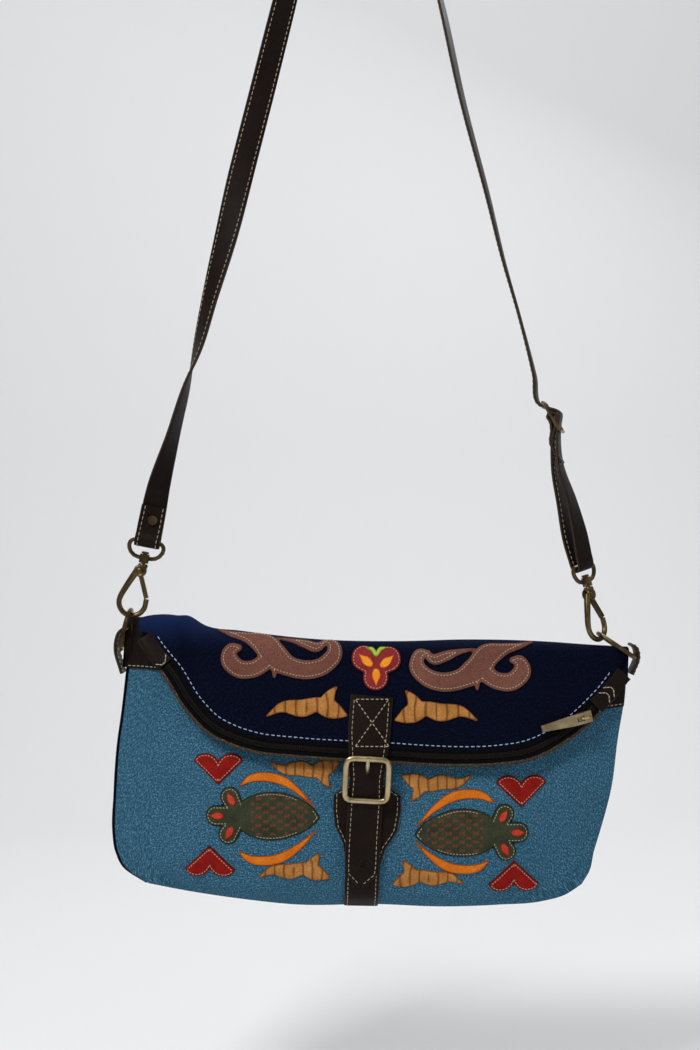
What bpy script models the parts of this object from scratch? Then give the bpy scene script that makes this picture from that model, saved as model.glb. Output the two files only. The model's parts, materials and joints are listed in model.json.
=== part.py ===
"""Fold-over crossbody bag: a canvas pouch with a folded flap, a curved zip, leather straps and snap hooks.

The bag hangs by its shoulder strap. The origin is the underside of the strap where it hangs,
X runs to the right, Y away from the viewer and Z up.
"""
import math

import bmesh
import bpy
import numpy as np
from mathutils import Matrix, Vector

MM = 0.001
GAP = 0.3 * MM            # clearance between neighbouring pieces

# Bag
BAG_WIDTH = 294 * MM
BAG_DROP = 172 * MM       # top corner to bottom seam
BAG_TOP = -488 * MM       # height of the top corner under the hanging place
FLAP_DROP = 0.5023 * BAG_DROP   # top corner to the lowest point of the flap's rim
CANVAS = 1.4 * MM
SEAM = 0.9 * MM           # half the distance between the panels at the seams
FRONT_PUFF = 17 * MM
BACK_PUFF = 12 * MM
FLAP_PUFF = 6.5 * MM
FLAP_FLARE = 4 * MM       # how far the rim stands off the pouch
TURN = 2.6 * MM           # width of the front panel's turn inside the fold
LAYER = CANVAS + 0.45 * MM

# Zip
BAND = 9.8 * MM           # rim to the flap's navy edge
COIL_WIDTH = 3.6 * MM
COIL_HEIGHT = 1.6 * MM
TAPE = 0.8 * MM
PIPING = 1.6 * MM
ZIP_FROM = 0.065          # where the teeth start and end, as shares of the rim's length
ZIP_TO = 0.920
SLIDER_AT = 0.893
SLIDER = (8.4 * MM, 6.6 * MM, 2.0 * MM)
PULL_LENGTH = 27 * MM
PULL_WIDTH = 6.4 * MM
PULL_THICK = 1.3 * MM
BRIDGE_RADIUS = 2.5 * MM
BRIDGE_WIRE = 0.6 * MM

# Shoulder strap and its metal
STRAP_WIDTH = 15 * MM
STRAP_THICK = 1.8 * MM
HANG_RADIUS = 17 * MM     # underside of the strap where it hangs
BAR_RADIUS = 1.3 * MM
RIVET_RADIUS = 2.9 * MM
RIVET_SHANK = 1.2 * MM
SLIDE_REACH = 10 * MM     # centre bar to end bar
SLIDE_BAR = 0.9 * MM
RING_RADIUS = 9.5 * MM
RING_HEIGHT = 24 * MM
TAB_WIDTH = 15 * MM
EYE_RISE = 13 * MM        # swivel to the bar that carries the strap
EYE_HALF = 10 * MM
HOOK_WIRE = 1.65 * MM
BOW_RADIUS = 7.9 * MM
BOW_DROP = 23.8 * MM
BOW_SHIFT = -2 * MM
PIVOT = Vector((-1 * MM, 0, -5 * MM))
GATE_REACH = 16.4 * MM
GATE_THICK = 2.4 * MM
POST_RADIUS = 1.3 * MM

# Closure
CLOSURE_WIDTH = 24.5 * MM
TONGUE_WIDTH = 20 * MM
CLOSURE_THICK = 2 * MM
BASE_WIDTH = 39 * MM
BASE_THICK = 1.8 * MM
BUCKLE_WIDTH = 27.6 * MM
BUCKLE_HEIGHT = 27.6 * MM
BUCKLE_WIRE = 1.5 * MM
CENTRE_BAR = 0.9 * MM
PRONG_WIRE = 1.1 * MM

PATCH = 1.0 * MM          # thickness of the sewn-on ornaments
FOLD_EASE = 0.5 * MM      # extra room under the ornaments that bend over the fold

# Side edges of the pouch: drop, left and right as shares of BAG_DROP and BAG_WIDTH
EDGES = [
    (0.000, -0.456, 0.544),
    (0.184, -0.467, 0.538),
    (0.309, -0.475, 0.530),
    (0.398, -0.482, 0.521),
    (0.600, -0.490, 0.505),
    (0.743, -0.492, 0.483),
    (0.812, -0.486, 0.471),
    (0.880, -0.464, 0.462),
    (0.925, -0.425, 0.447),
]
# Top line: across as a share of BAG_WIDTH, drop as a share of BAG_DROP
TOP_LINE = [
    (-0.456, 0.042), (-0.430, 0.024), (-0.392, 0.006), (-0.350, 0.002), (-0.310, 0.040), (-0.240, 0.058), (-0.080, 0.088),
    (0.080, 0.094), (0.220, 0.088), (0.360, 0.094), (0.480, 0.108), (0.544, 0.114),
]
# Bottom seam: across as a share of BAG_WIDTH, drop as a share of BAG_DROP
BOTTOM_LINE = [
    (-0.425, 0.925), (-0.354, 0.948), (-0.241, 0.977), (-0.129, 0.997), (0.037, 0.996),
    (0.166, 1.004), (0.279, 0.998), (0.370, 0.985), (0.416, 0.962), (0.447, 0.928),
]
# Lower rim of the flap: across as a share of BAG_WIDTH, drop as a share of FLAP_DROP
RIM = [
    (-0.444, 0.175), (-0.420, 0.290), (-0.394, 0.394), (-0.345, 0.640), (-0.300, 0.787),
    (-0.262, 0.853), (-0.202, 0.913), (-0.125, 0.940), (0.063, 0.977), (0.194, 1.000),
    (0.270, 0.993), (0.337, 0.960), (0.409, 0.847), (0.491, 0.620), (0.540, 0.433),
]
# Swell of the pouch front and back down the bag, as shares of FRONT_PUFF and BACK_PUFF
SWELL = [
    (0.00, 0.10, 0.50), (0.15, 0.30, 0.68), (0.35, 0.62, 0.90), (0.60, 0.94, 1.00),
    (0.76, 1.00, 0.92), (0.88, 0.80, 0.68), (0.95, 0.50, 0.42), (1.00, 0.00, 0.00),
]


def clear_scene():
    for obj in list(bpy.data.objects):
        bpy.data.objects.remove(obj, do_unlink=True)


def material(name, colour, roughness, metallic=0.0):
    mat = bpy.data.materials.new(name)
    mat.use_nodes = True
    shader = mat.node_tree.nodes["Principled BSDF"]
    shader.inputs["Base Color"].default_value = (*colour, 1.0)
    shader.inputs["Roughness"].default_value = roughness
    shader.inputs["Metallic"].default_value = metallic
    return mat


def add_mesh(name, verts, faces, mat, smooth=True):
    mesh = bpy.data.meshes.new(name)
    mesh.from_pydata([tuple(v) for v in verts], [], [tuple(f) for f in faces])
    mesh.validate()
    if smooth:
        mesh.shade_smooth()
        mesh.set_sharp_from_angle(angle=math.radians(40))
    obj = bpy.data.objects.new(name, mesh)
    bpy.context.scene.collection.objects.link(obj)
    mesh.materials.append(mat)
    return obj


def thicken(obj, thickness):
    solid = obj.modifiers.new("thickness", "SOLIDIFY")
    solid.thickness = thickness
    solid.offset = 0.0
    return obj


def grid_faces(rows, cols):
    index = np.arange(rows * cols).reshape(rows, cols)
    return np.stack([index[:-1, :-1], index[1:, :-1], index[1:, 1:], index[:-1, 1:]], axis=-1).reshape(-1, 4)


def table(rows, column, at):
    """Smooth curve through one column of a table, read where its first column equals at."""
    data = np.array(rows, dtype=float)
    xs = data[:, 0]
    ys = data[:, column]
    slopes = np.gradient(ys, xs)
    at = np.clip(at, xs[0], xs[-1])
    k = np.clip(np.searchsorted(xs, at, side="right") - 1, 0, len(xs) - 2)
    span = xs[k + 1] - xs[k]
    t = (at - xs[k]) / span
    rise = t * t * (3 - 2 * t)
    lead = t * (1 - t) ** 2 * span * slopes[k]
    trail = -t * t * (1 - t) * span * slopes[k + 1]
    return ys[k] * (1 - rise) + ys[k + 1] * rise + lead + trail


def through(points, steps):
    """Smooth path through the points, with the given steps between neighbours.

    Each stretch is a cubic whose end slopes are the slopes along the points' own spacing, so
    that points lying close together leave no kink. Columns past the third ride along.
    """
    p = np.array(points, dtype=float)
    gaps = np.linalg.norm(np.diff(p[:, :3], axis=0), axis=1)
    slopes = np.gradient(p, np.concatenate([[0], np.cumsum(gaps)]), axis=0)
    t = np.arange(steps)[:, None] / steps
    pieces = []
    for a, b, slope_a, slope_b, gap in zip(p[:-1], p[1:], slopes[:-1], slopes[1:], gaps):
        rise = t * t * (3 - 2 * t)
        pieces.append(a * (1 - rise) + b * rise + gap * (t * (1 - t) ** 2 * slope_a - t * t * (1 - t) * slope_b))
    return np.vstack(pieces + [p[-1:]])


def top_z(x):
    return BAG_TOP - BAG_DROP * table(TOP_LINE, 1, x / BAG_WIDTH)


def bottom_z(x):
    return BAG_TOP - BAG_DROP * table(BOTTOM_LINE, 1, x / BAG_WIDTH)


def edge_x(z, column):
    return BAG_WIDTH * table(EDGES, column, (BAG_TOP - z) / BAG_DROP)


def rim_z(x):
    return BAG_TOP - FLAP_DROP * table(RIM, 1, x / BAG_WIDTH)


def swell(x, z, column):
    """Share of the puff at a place on the pouch: none at the sides and the bottom, most low in the middle."""
    left = edge_x(z, 1)
    right = edge_x(z, 2)
    across = np.clip((x - left) / (right - left), 0, 1)
    down = np.clip((top_z(x) - z) / (top_z(x) - bottom_z(x)), 0, 1)
    return (1 - np.abs(2 * across - 1) ** 2.4) ** 0.75 * table(SWELL, column, down)


def pouch_y(x, z):
    return -SEAM - FRONT_PUFF * swell(x, z, 1)


def back_y(x, z):
    return SEAM + BACK_PUFF * swell(x, z, 2)


def flap_share(x, z):
    """Share of the way from the fold to the flap's rim."""
    return np.clip((top_z(x) - z) / (top_z(x) - rim_z(x)), 0, 1)


def lining_y(x, z):
    """Middle of the flap's inner layer."""
    return pouch_y(x, z) - TURN - FLAP_FLARE * flap_share(x, z) ** 2


def flap_y(x, z):
    """Middle of the flap's outer layer, a flat cushion over its inner layer."""
    centre = (RIM[0][0] + RIM[-1][0]) / 2 * BAG_WIDTH
    half = (RIM[-1][0] - RIM[0][0]) / 2 * BAG_WIDTH
    side = np.clip(np.abs(x - centre) / half, 0, 1)
    puff = (1 - flap_share(x, z) ** 5) ** 0.5 * (1 - side ** 4)
    return lining_y(x, z) - LAYER - FLAP_PUFF * puff


def fold_arc(x, front, back, rise, count):
    """Points of the half ellipse over the fold, from the front layer to the back layer."""
    angle = np.linspace(0, np.pi, count)[:, None]
    y = (front + back) / 2 - (back - front) / 2 * np.cos(angle)
    z = (top_z(x) - fold_rise(x)) + rise * np.sin(angle)
    return np.stack([np.broadcast_to(x, y.shape), y, z], axis=-1)


def fold_rise(x):
    """Height of the fold's arc, half its depth."""
    z = top_z(x) - 6 * MM
    return (back_y(x, z) - flap_y(x, z)) / 2


def rim_path(count):
    """Points and inward normals of the flap's rim in the XZ plane, evenly along its length."""
    rim = np.array(RIM) * (BAG_WIDTH, -FLAP_DROP)
    path = through(rim, 12)
    length = np.concatenate([[0], np.cumsum(np.linalg.norm(np.diff(path, axis=0), axis=1))])
    at = np.linspace(0, length[-1], count)
    path = np.stack([np.interp(at, length, path[:, k]) for k in range(2)], axis=1)
    run = np.gradient(path, axis=0)
    run /= np.linalg.norm(run, axis=1)[:, None]
    return path + (0, BAG_TOP), np.stack([-run[:, 1], run[:, 0]], axis=1)


def on_pouch(x, z):
    return np.stack([x, pouch_y(x, z), z], axis=-1)


def on_flap(x, z):
    return np.stack([x, flap_y(x, z), z], axis=-1)


def on_fold(x, height):
    """Place on the flap's outer face; height is minus the way down from the ridge along the face."""
    rise = fold_rise(x)
    start = top_z(x) - rise
    front = flap_y(x, start)
    half = (back_y(x, start) - front) / 2
    way = -height
    turn = np.clip(way / rise, -np.pi / 2, np.pi / 2)
    below = np.clip(way - rise * np.pi / 2, 0, None)
    flat = flap_y(x, start - below) - front
    return np.stack([x, front + half * (1 - np.sin(turn)) + flat, start + rise * np.cos(turn) - below], axis=-1)


def seat(place, a, b, lift):
    """Puts points a distance in front of the surface place(a, b)."""
    h = 0.4 * MM
    normal = np.cross(place(a + h, b) - place(a - h, b), place(a, b + h) - place(a, b - h))
    normal /= np.linalg.norm(normal, axis=-1)[..., None]
    return place(a, b) + normal * lift


COLUMNS = 16
FOLD_FROM = -0.430         # ends of the folded edge, as shares of BAG_WIDTH
FOLD_TO = 0.540


def spread(count):
    """Shares from 0 to 1, closer together at both ends."""
    t = np.linspace(0, 1, count)
    return 0.45 * t + 0.55 * (1 - np.cos(np.pi * t)) / 2


def pouch_rows(y_of, fold_x, start_z):
    """Rows from the fold down to the bottom seam."""
    shares = [0.1, 0.24, 0.39, 0.53, 0.66, 0.77, 0.86, 0.93, 0.97, 1.0]
    rows = []
    a = spread(COLUMNS)
    for share in shares:
        z_left = BAG_TOP - BAG_DROP * EDGES[-1][0] * share
        z_right = top_z(fold_x[-1:]) * (1 - share) + (BAG_TOP - BAG_DROP * EDGES[-1][0]) * share
        left = edge_x(z_left, 1)
        right = edge_x(z_right, 2)
        x = left + (right - left) * a
        z = start_z * (1 - share) + bottom_z(x) * share
        rows.append(np.stack([x, y_of(x, z), z], axis=-1))
    return rows


def flap_rows(y_of, edge_points, fold_x, start_z):
    """Rows from the flap's edge up to the fold."""
    rows = []
    for share in [0, 0.08, 0.22, 0.4, 0.6, 0.8, 1.0]:
        x = edge_points[:, 0] * (1 - share) + fold_x * share
        z = edge_points[:, 1] * (1 - share) + start_z * share
        rows.append(np.stack([x, y_of(x, z), z], axis=-1))
    return rows


def panels(navy, blue):
    """The two canvas sheets: each runs up the flap, turns at the fold and goes down the pouch."""
    path, normal = rim_path(201)
    a = spread(COLUMNS)
    picks = np.round(a * 200).astype(int)
    fold_x = BAG_WIDTH * (FOLD_FROM + (FOLD_TO - FOLD_FROM) * a)
    rise = fold_rise(fold_x)
    start_z = top_z(fold_x) - rise

    outer_edge = (path + normal * BAND)[picks]
    rows = flap_rows(flap_y, outer_edge, fold_x, start_z)
    arc = fold_arc(fold_x, flap_y(fold_x, start_z), back_y(fold_x, start_z), rise, 8)
    rows += list(arc[1:])
    rows += pouch_rows(back_y, fold_x, start_z)
    verts = np.array(rows).reshape(-1, 3)
    thicken(add_mesh("back_panel", verts, grid_faces(len(rows), COLUMNS), navy), CANVAS)

    inner_edge = (path + normal * 1.2 * MM)[picks]
    rows = flap_rows(lining_y, inner_edge, fold_x, start_z)
    arc = fold_arc(fold_x, lining_y(fold_x, start_z), pouch_y(fold_x, start_z), TURN / 2, 8)
    rows += list(arc[1:])
    rows += pouch_rows(pouch_y, fold_x, start_z)
    verts = np.array(rows).reshape(-1, 3)
    thicken(add_mesh("front_panel", verts, grid_faces(len(rows), COLUMNS), blue), CANVAS)


def rim_strip(name, first, last, inner, outer, lift, thickness, mat, count, across=2):
    """A strip along the rim between two distances from it, lifted off the flap's outer face."""
    path, normal = rim_path(401)
    picks = np.round(np.linspace(first, last, count) * 400).astype(int)
    rows = []
    for d in np.linspace(inner, outer, across):
        p = path[picks] + normal[picks] * d
        rows.append(seat(on_flap, p[:, 0], p[:, 1], lift))
    verts = np.array(rows).reshape(-1, 3)
    return thicken(add_mesh(name, verts, grid_faces(across, count), mat), thickness)


def zip_strips(tape, coil, trim):
    """Tapes, coil and edge piping along the rim."""
    middle = (PIPING + BAND) / 2
    half = COIL_WIDTH / 2
    rim_strip("zip_coil", ZIP_FROM, ZIP_TO, middle - half, middle + half, 0.2 * MM, COIL_HEIGHT, coil, 44)
    rim_strip("zip_tape_upper", ZIP_FROM, ZIP_TO, middle + half + GAP, BAND - GAP, 0, TAPE, tape, 36)
    rim_strip("zip_tape_lower", ZIP_FROM, ZIP_TO, PIPING + GAP, middle - half - GAP, 0, TAPE, tape, 36)
    rim_strip("edge_piping", ZIP_FROM, ZIP_TO, 0, PIPING, -0.2 * MM, 0.8 * PIPING, trim, 36)


def ribbon(name, path, directions, widths, thickness, mat):
    """A flat strap along a path; directions are its width directions, widths its widths."""
    path = np.asarray(path, dtype=float)
    run = np.gradient(path, axis=0)
    run /= np.linalg.norm(run, axis=1)[:, None]
    wide = np.broadcast_to(np.asarray(directions, dtype=float), path.shape).copy()
    wide -= run * (wide * run).sum(axis=1)[:, None]
    wide /= np.linalg.norm(wide, axis=1)[:, None]
    out = np.cross(run, wide)
    half = np.broadcast_to(np.asarray(widths, dtype=float), (len(path),))[:, None] / 2
    corners = [(-1, -1), (1, -1), (1, 1), (-1, 1)]
    rings = np.stack([path + wide * half * a + out * thickness / 2 * b for a, b in corners], axis=1)
    return add_mesh(name, rings.reshape(-1, 3), ring_faces(len(path), 4, False), mat)


def ring_faces(rings, sides, cyclic):
    index = np.arange(rings * sides).reshape(rings, sides)
    after = np.roll(index, -1, axis=1)
    ahead = np.roll(index, -1, axis=0)
    ahead_after = np.roll(after, -1, axis=0)
    quads = np.stack([index, after, ahead_after, ahead], axis=-1)
    if cyclic:
        return quads.reshape(-1, 4).tolist()
    faces = quads[:-1].reshape(-1, 4).tolist()
    return faces + [index[0, ::-1].tolist(), index[-1].tolist()]


def tube(name, path, radius, side, mat, cyclic=False, sides=8):
    """A round wire along a flat path; side is the direction square to the path's plane."""
    path = np.asarray(path, dtype=float)
    if cyclic:
        run = np.roll(path, -1, axis=0) - np.roll(path, 1, axis=0)
    else:
        run = np.gradient(path, axis=0)
    run /= np.linalg.norm(run, axis=1)[:, None]
    side = np.asarray(side, dtype=float)
    out = np.cross(run, side)
    out /= np.linalg.norm(out, axis=1)[:, None]
    angle = 2 * np.pi * (np.arange(sides) + 0.5) / sides
    around = np.cos(angle)[None, :, None] * side + np.sin(angle)[None, :, None] * out[:, None, :]
    verts = path[:, None, :] + radius * around
    return add_mesh(name, verts.reshape(-1, 3), ring_faces(len(path), sides, cyclic), mat)


def block(name, low, high, mat):
    x0, y0, z0 = low
    x1, y1, z1 = high
    verts = [(x0, y0, z0), (x1, y0, z0), (x1, y1, z0), (x0, y1, z0),
             (x0, y0, z1), (x1, y0, z1), (x1, y1, z1), (x0, y1, z1)]
    faces = [(3, 2, 1, 0), (4, 5, 6, 7), (0, 1, 5, 4), (1, 2, 6, 5), (2, 3, 7, 6), (3, 0, 4, 7)]
    return add_mesh(name, verts, faces, mat, smooth=False)


def rod(name, start, end, radius, mat, sides=12):
    """A straight round rod from start to end."""
    start = Vector(start)
    run = Vector(end) - start
    mesh = bpy.data.meshes.new(name)
    body = bmesh.new()
    bmesh.ops.create_cone(body, cap_ends=True, segments=sides, radius1=radius, radius2=radius,
                          depth=run.length)
    turn = run.to_track_quat("Z", "Y").to_matrix().to_4x4()
    bmesh.ops.transform(body, matrix=Matrix.Translation(start + run / 2) @ turn, verts=body.verts)
    body.to_mesh(mesh)
    body.free()
    mesh.shade_smooth()
    mesh.set_sharp_from_angle(angle=math.radians(40))
    obj = bpy.data.objects.new(name, mesh)
    bpy.context.scene.collection.objects.link(obj)
    mesh.materials.append(mat)
    return obj


def combine(base, operation, parts):
    """Adds or cuts helper shapes with Boolean modifiers."""
    for part in parts:
        part.hide_render = True
        part.display_type = "WIRE"
        part.parent = base
        step = base.modifiers.new(part.name, "BOOLEAN")
        step.operation = operation
        step.solver = "EXACT"
        step.object = part
    return base


def place(obj, frame):
    obj.matrix_world = frame
    return obj


def hook_frame(origin, tilt, yaw):
    turn = Matrix.Rotation(math.radians(tilt), 4, "Y") @ Matrix.Rotation(math.radians(yaw), 4, "Z")
    return Matrix.Translation(origin) @ turn


HOOK_TILT = {"left": 11, "right": -15}
HOOK_RISE = {"left": 30.3 * MM, "right": 16.6 * MM}    # top corner of the bag up to the swivel
HOOKS = {
    "left": hook_frame((-0.43673 * BAG_WIDTH, 0, BAG_TOP + HOOK_RISE["left"]), HOOK_TILT["left"], 0),
    "right": hook_frame((0.46020 * BAG_WIDTH, 0, BAG_TOP + HOOK_RISE["right"]), HOOK_TILT["right"], 45),
}
RING_LEAN = {"left": Vector((-0.24, 0, -0.97)), "right": Vector((0.83, 0, -0.56))}


def snap_hook(side, brass):
    """Swivel snap hook: eye with a barrel, hook body on its post, and a hinged gate."""
    frame = HOOKS[side]
    barrel = (GAP, 5.6 * MM)
    eye_path = through([(-2.2 * MM, 3.2 * MM), (-6.5 * MM, 4.0 * MM), (-EYE_HALF, 8.0 * MM),
                        (-EYE_HALF, EYE_RISE - 1.6 * MM), (-EYE_HALF + 1.5 * MM, EYE_RISE)], 2)
    eye_path = np.vstack([eye_path, eye_path[::-1] * (-1, 1)])
    eye_path = np.stack([eye_path[:, 0], np.zeros(len(eye_path)), eye_path[:, 1]], axis=1)
    eye = rod(f"hook_eye_{side}", (0, 0, barrel[0]), (0, 0, barrel[1]), 2.9 * MM, brass)
    loop = tube(f"eye_loop_{side}", eye_path, BAR_RADIUS, (0, 1, 0), brass)
    bore = rod(f"eye_bore_{side}", (0, 0, -2 * MM), (0, 0, 8 * MM), POST_RADIUS + GAP, brass)
    combine(eye, "UNION", [loop])
    combine(eye, "DIFFERENCE", [bore])
    place(eye, frame)

    body = block(f"hook_body_{side}", (-5.8 * MM, -3 * MM, -8.6 * MM), (3.2 * MM, 3 * MM, -GAP / 2), brass)
    slot = block(f"hook_slot_{side}", (PIVOT.x - 2.8 * MM, -GATE_THICK / 2 - GAP, -9.5 * MM),
                 (6 * MM, GATE_THICK / 2 + GAP, -2.2 * MM), brass)
    angle = np.radians(np.linspace(163, 355, 15))
    arc = np.stack([BOW_SHIFT + BOW_RADIUS * np.cos(angle), -BOW_DROP + BOW_RADIUS * np.sin(angle)], axis=1)
    spine = np.array([(-4.5 * MM, -6.6 * MM), (-5.6 * MM, -10 * MM), (-7.4 * MM, -15.4 * MM)])
    nose = np.array([(BOW_SHIFT + BOW_RADIUS, -21.9 * MM)])
    bow_path = np.vstack([spine, arc, nose])
    bow_path = np.stack([bow_path[:, 0], np.zeros(len(bow_path)), bow_path[:, 1]], axis=1)
    bow = tube(f"bow_{side}", bow_path, HOOK_WIRE, (0, 1, 0), brass)
    pin = rod(f"pin_{side}", PIVOT - Vector((0, 2.9 * MM, 0)), PIVOT + Vector((0, 2.9 * MM, 0)), 0.9 * MM,
              brass, 12)
    post = rod(f"post_{side}", (0, 0, -1.2 * MM), (0, 0, 6.4 * MM), POST_RADIUS, brass)
    button = rod(f"button_{side}", (0, 0, barrel[1] + GAP), (0, 0, barrel[1] + GAP + 1.2 * MM), 2.3 * MM,
                 brass)
    combine(body, "DIFFERENCE", [slot])
    combine(body, "UNION", [bow, pin, post, button])
    place(body, frame)

    gate = rod(f"hook_gate_{side}", (0, -GATE_THICK / 2, 0), (0, GATE_THICK / 2, 0), 2.4 * MM, brass)
    reach = Vector((BOW_SHIFT + BOW_RADIUS, 0, -20.4 * MM)) - PIVOT
    arm = block(f"gate_arm_{side}", (-1.3 * MM, -GATE_THICK / 2, -GATE_REACH), (1.3 * MM, GATE_THICK / 2, -1.9 * MM),
                brass)
    turn = Matrix.Rotation(-math.atan2(reach.x, -reach.z), 4, "Y")
    arm.data.transform(turn)
    hole = rod(f"gate_bore_{side}", (0, -3 * MM, 0), (0, 3 * MM, 0), 0.9 * MM + GAP, brass, 12)
    combine(gate, "UNION", [arm])
    combine(gate, "DIFFERENCE", [hole])
    place(gate, frame @ Matrix.Translation(PIVOT))


def ring_place(side):
    """Top of the ring's wire, its lean and its width direction."""
    frame = HOOKS[side]
    bow = frame @ Vector((BOW_SHIFT, 0, -BOW_DROP - BOW_RADIUS))
    lift = frame.to_3x3() @ Vector((0, 0, 1))
    top = bow + lift * (HOOK_WIRE + BAR_RADIUS + 0.4 * MM)
    top.y = bow.y
    return top, RING_LEAN[side].normalized(), Vector((0, 1, 0))


def ring_and_tab(side, brass, leather):
    """D-ring through the hook, held in a leather loop at the corner of the bag."""
    top, lean, wide = ring_place(side)
    angle = np.linspace(np.pi, 0, 13)
    flat = [(RING_RADIUS * math.cos(t), RING_RADIUS * (1 - math.sin(t))) for t in angle]
    corner = 1.6 * MM
    flat += [(RING_RADIUS, RING_HEIGHT - corner), (RING_RADIUS - corner, RING_HEIGHT)]
    flat += [(-RING_RADIUS + corner, RING_HEIGHT), (-RING_RADIUS, RING_HEIGHT - corner)]
    path = [top + wide * w + lean * d for w, d in flat]
    tube(f"d_ring_{side}", [tuple(p) for p in path], BAR_RADIUS, tuple(wide.cross(lean).normalized()), brass,
         cyclic=True)

    bar = top + lean * RING_HEIGHT
    sign = -1 if side == "left" else 1
    reach = BAR_RADIUS + GAP + 0.9 * MM
    loop = [(-reach - 2.5 * MM, 14 * MM), (0.3 * MM, 10.5 * MM), (reach, 4 * MM), (reach, -1 * MM),
            (reach - 1.2 * MM, -6 * MM), (0, -10 * MM), (-1.2 * MM, -14 * MM)]
    if side == "right":
        loop = [(-1.0 * MM, 9.5 * MM), (1.4 * MM, 7.2 * MM), (reach, 3 * MM), (reach, -2 * MM),
                (reach - 1.0 * MM, -6 * MM), (0.2 * MM, -10 * MM), (-0.8 * MM, -14 * MM)]
    points = [(bar.x + sign * a, bar.y, bar.z + b) for a, b in loop]
    ribbon(f"ring_tab_{side}", through(points, 3), (0, 1, 0), TAB_WIDTH, 1.8 * MM, leather)


# Shoulder strap: across as a share of BAG_WIDTH, down as a share of the way to the bag's top corner,
# and the turn of its width direction about Z from +X, in degrees
LEFT_ROUTE = [
    (-0.37823, 0.78545, 66), (-0.34456, 0.71250, 90), (-0.33367, 0.69057, 108), (-0.30102, 0.61168, 135),
    (-0.26803, 0.53627, 160), (-0.24252, 0.47193, 180), (-0.19558, 0.36066, 195), (-0.15068, 0.25328, 208),
    (-0.10068, 0.13525, 242),
]
RIGHT_ROUTE = [
    (0.11156, 0.13525, 262), (0.16293, 0.25328, 252), (0.20714, 0.37480, 252), (0.26020, 0.49631, 255),
    (0.28776, 0.56434, 258), (0.32415, 0.64201, 260), (0.35238, 0.70902, 257),
]
SLIDE_AT = Vector((0.38980 * BAG_WIDTH, 0, 0.76004 * BAG_TOP))
SLIDE_TURN = 31.6
SLIDE_YAW = -15


def slide_frame():
    """Local X runs down the strap, local Z away from the bag's middle and local Y across the strap."""
    down = Vector((math.sin(math.radians(SLIDE_TURN)), 0, -math.cos(math.radians(SLIDE_TURN))))
    out = Vector((-down.z, 0, down.x))
    yaw = Matrix.Rotation(math.radians(SLIDE_YAW), 4, "Z")
    axes = Matrix((down, (0, -1, 0), out)).transposed().to_4x4()
    return Matrix.Translation(SLIDE_AT) @ yaw @ axes


def strap_route():
    """Points of the strap's middle line, with the turn and the tilt of its width direction."""
    def hung(rows):
        return [(across * BAG_WIDTH, 0, down * BAG_TOP, turn, 0) for across, down, turn in rows]

    left, right = HOOK_TILT["left"], HOOK_TILT["right"]
    frame = HOOKS["left"]
    bar = frame @ Vector((0, 0, EYE_RISE))
    wrap = BAR_RADIUS + GAP + STRAP_THICK / 2
    route = []
    for down, out, angle in [(21.5, -1.35, 24), (16.5, -1.35, 20), (11, -1.35, 14), (5.5, -1.6, 6)]:
        p = frame @ Vector((0, out * MM, EYE_RISE + down * MM))
        route.append((p.x, p.y, p.z, angle, left))
    for turn in np.radians([0, 45, 90, 135, 180]):
        p = frame @ Vector((0, -wrap * math.cos(turn), EYE_RISE - wrap * math.sin(turn)))
        route.append((p.x, p.y, p.z, 0, left))
    for down, out, angle in [(5.5, 1.6, 6), (11, 1.35, 14), (16.5, 1.35, 20), (21.5, 1.3, 24), (27, 1.0, 30)]:
        p = frame @ Vector((0, out * MM, EYE_RISE + down * MM))
        route.append((p.x, p.y, p.z, angle, left))
    route += hung(LEFT_ROUTE)
    middle = HANG_RADIUS + STRAP_THICK / 2
    for turn in np.radians([166, 135, 110, 90, 70, 45, 14]):
        route.append((middle * math.cos(turn), 0, -HANG_RADIUS + middle * math.sin(turn), 270, 0))
    route += hung(RIGHT_ROUTE)

    slide = slide_frame()
    layer = STRAP_THICK + 0.45 * MM
    past = SLIDE_BAR + 2 * GAP + STRAP_THICK / 2
    bulge = past + layer
    yaw = 270 + SLIDE_YAW
    for along, out in [(-1.0, -past), (-0.55, (bulge - past) * 0.35), (0, bulge), (0.5, (bulge - past) * 0.5),
                       (1.0, -past)]:
        p = slide @ Vector((along * SLIDE_REACH, 0, out))
        route.append((p.x, p.y, p.z, yaw, 0))
    eye = HOOKS["right"]
    for rise, out, angle in [(62, 3.6, 250), (38, 4.6, 240), (16, 4.0, 228), (5, 2.9, 225)]:
        p = eye @ Vector((0, -out * MM, EYE_RISE + rise * MM))
        route.append((p.x, p.y, p.z, angle, right))
    for turn in np.radians([0, 45, 90, 135, 180]):
        p = eye @ Vector((0, -wrap * math.cos(turn), EYE_RISE - wrap * math.sin(turn)))
        route.append((p.x, p.y, p.z, 225, right))
    for rise, out, angle in [(5, 2.9, 225), (16, 3.6, 228), (38, 2.6, 240), (62, 0.6, 250)]:
        p = eye @ Vector((0, out * MM, EYE_RISE + rise * MM))
        route.append((p.x, p.y, p.z, angle, right))
    for along, out in [(1.0, -past - 1.25 * layer), (0.5, -0.1 * layer), (0.12, past)]:
        p = slide @ Vector((along * SLIDE_REACH, 0, out))
        route.append((p.x, p.y, p.z, yaw, 0))
    for turn in np.radians([35, 90, 145]):
        p = slide @ Vector((-past * math.sin(turn), 0, past * math.cos(turn)))
        route.append((p.x, p.y, p.z, yaw, 0))
    for along, out in [(0.25, -past), (0.7, -past - 0.9 * layer), (1.2, -past - 2.6 * layer),
                       (2.6, -past - 3.2 * layer)]:
        p = slide @ Vector((along * SLIDE_REACH, 0, out))
        route.append((p.x, p.y, p.z, yaw, 0))
    return np.array(route)


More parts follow.
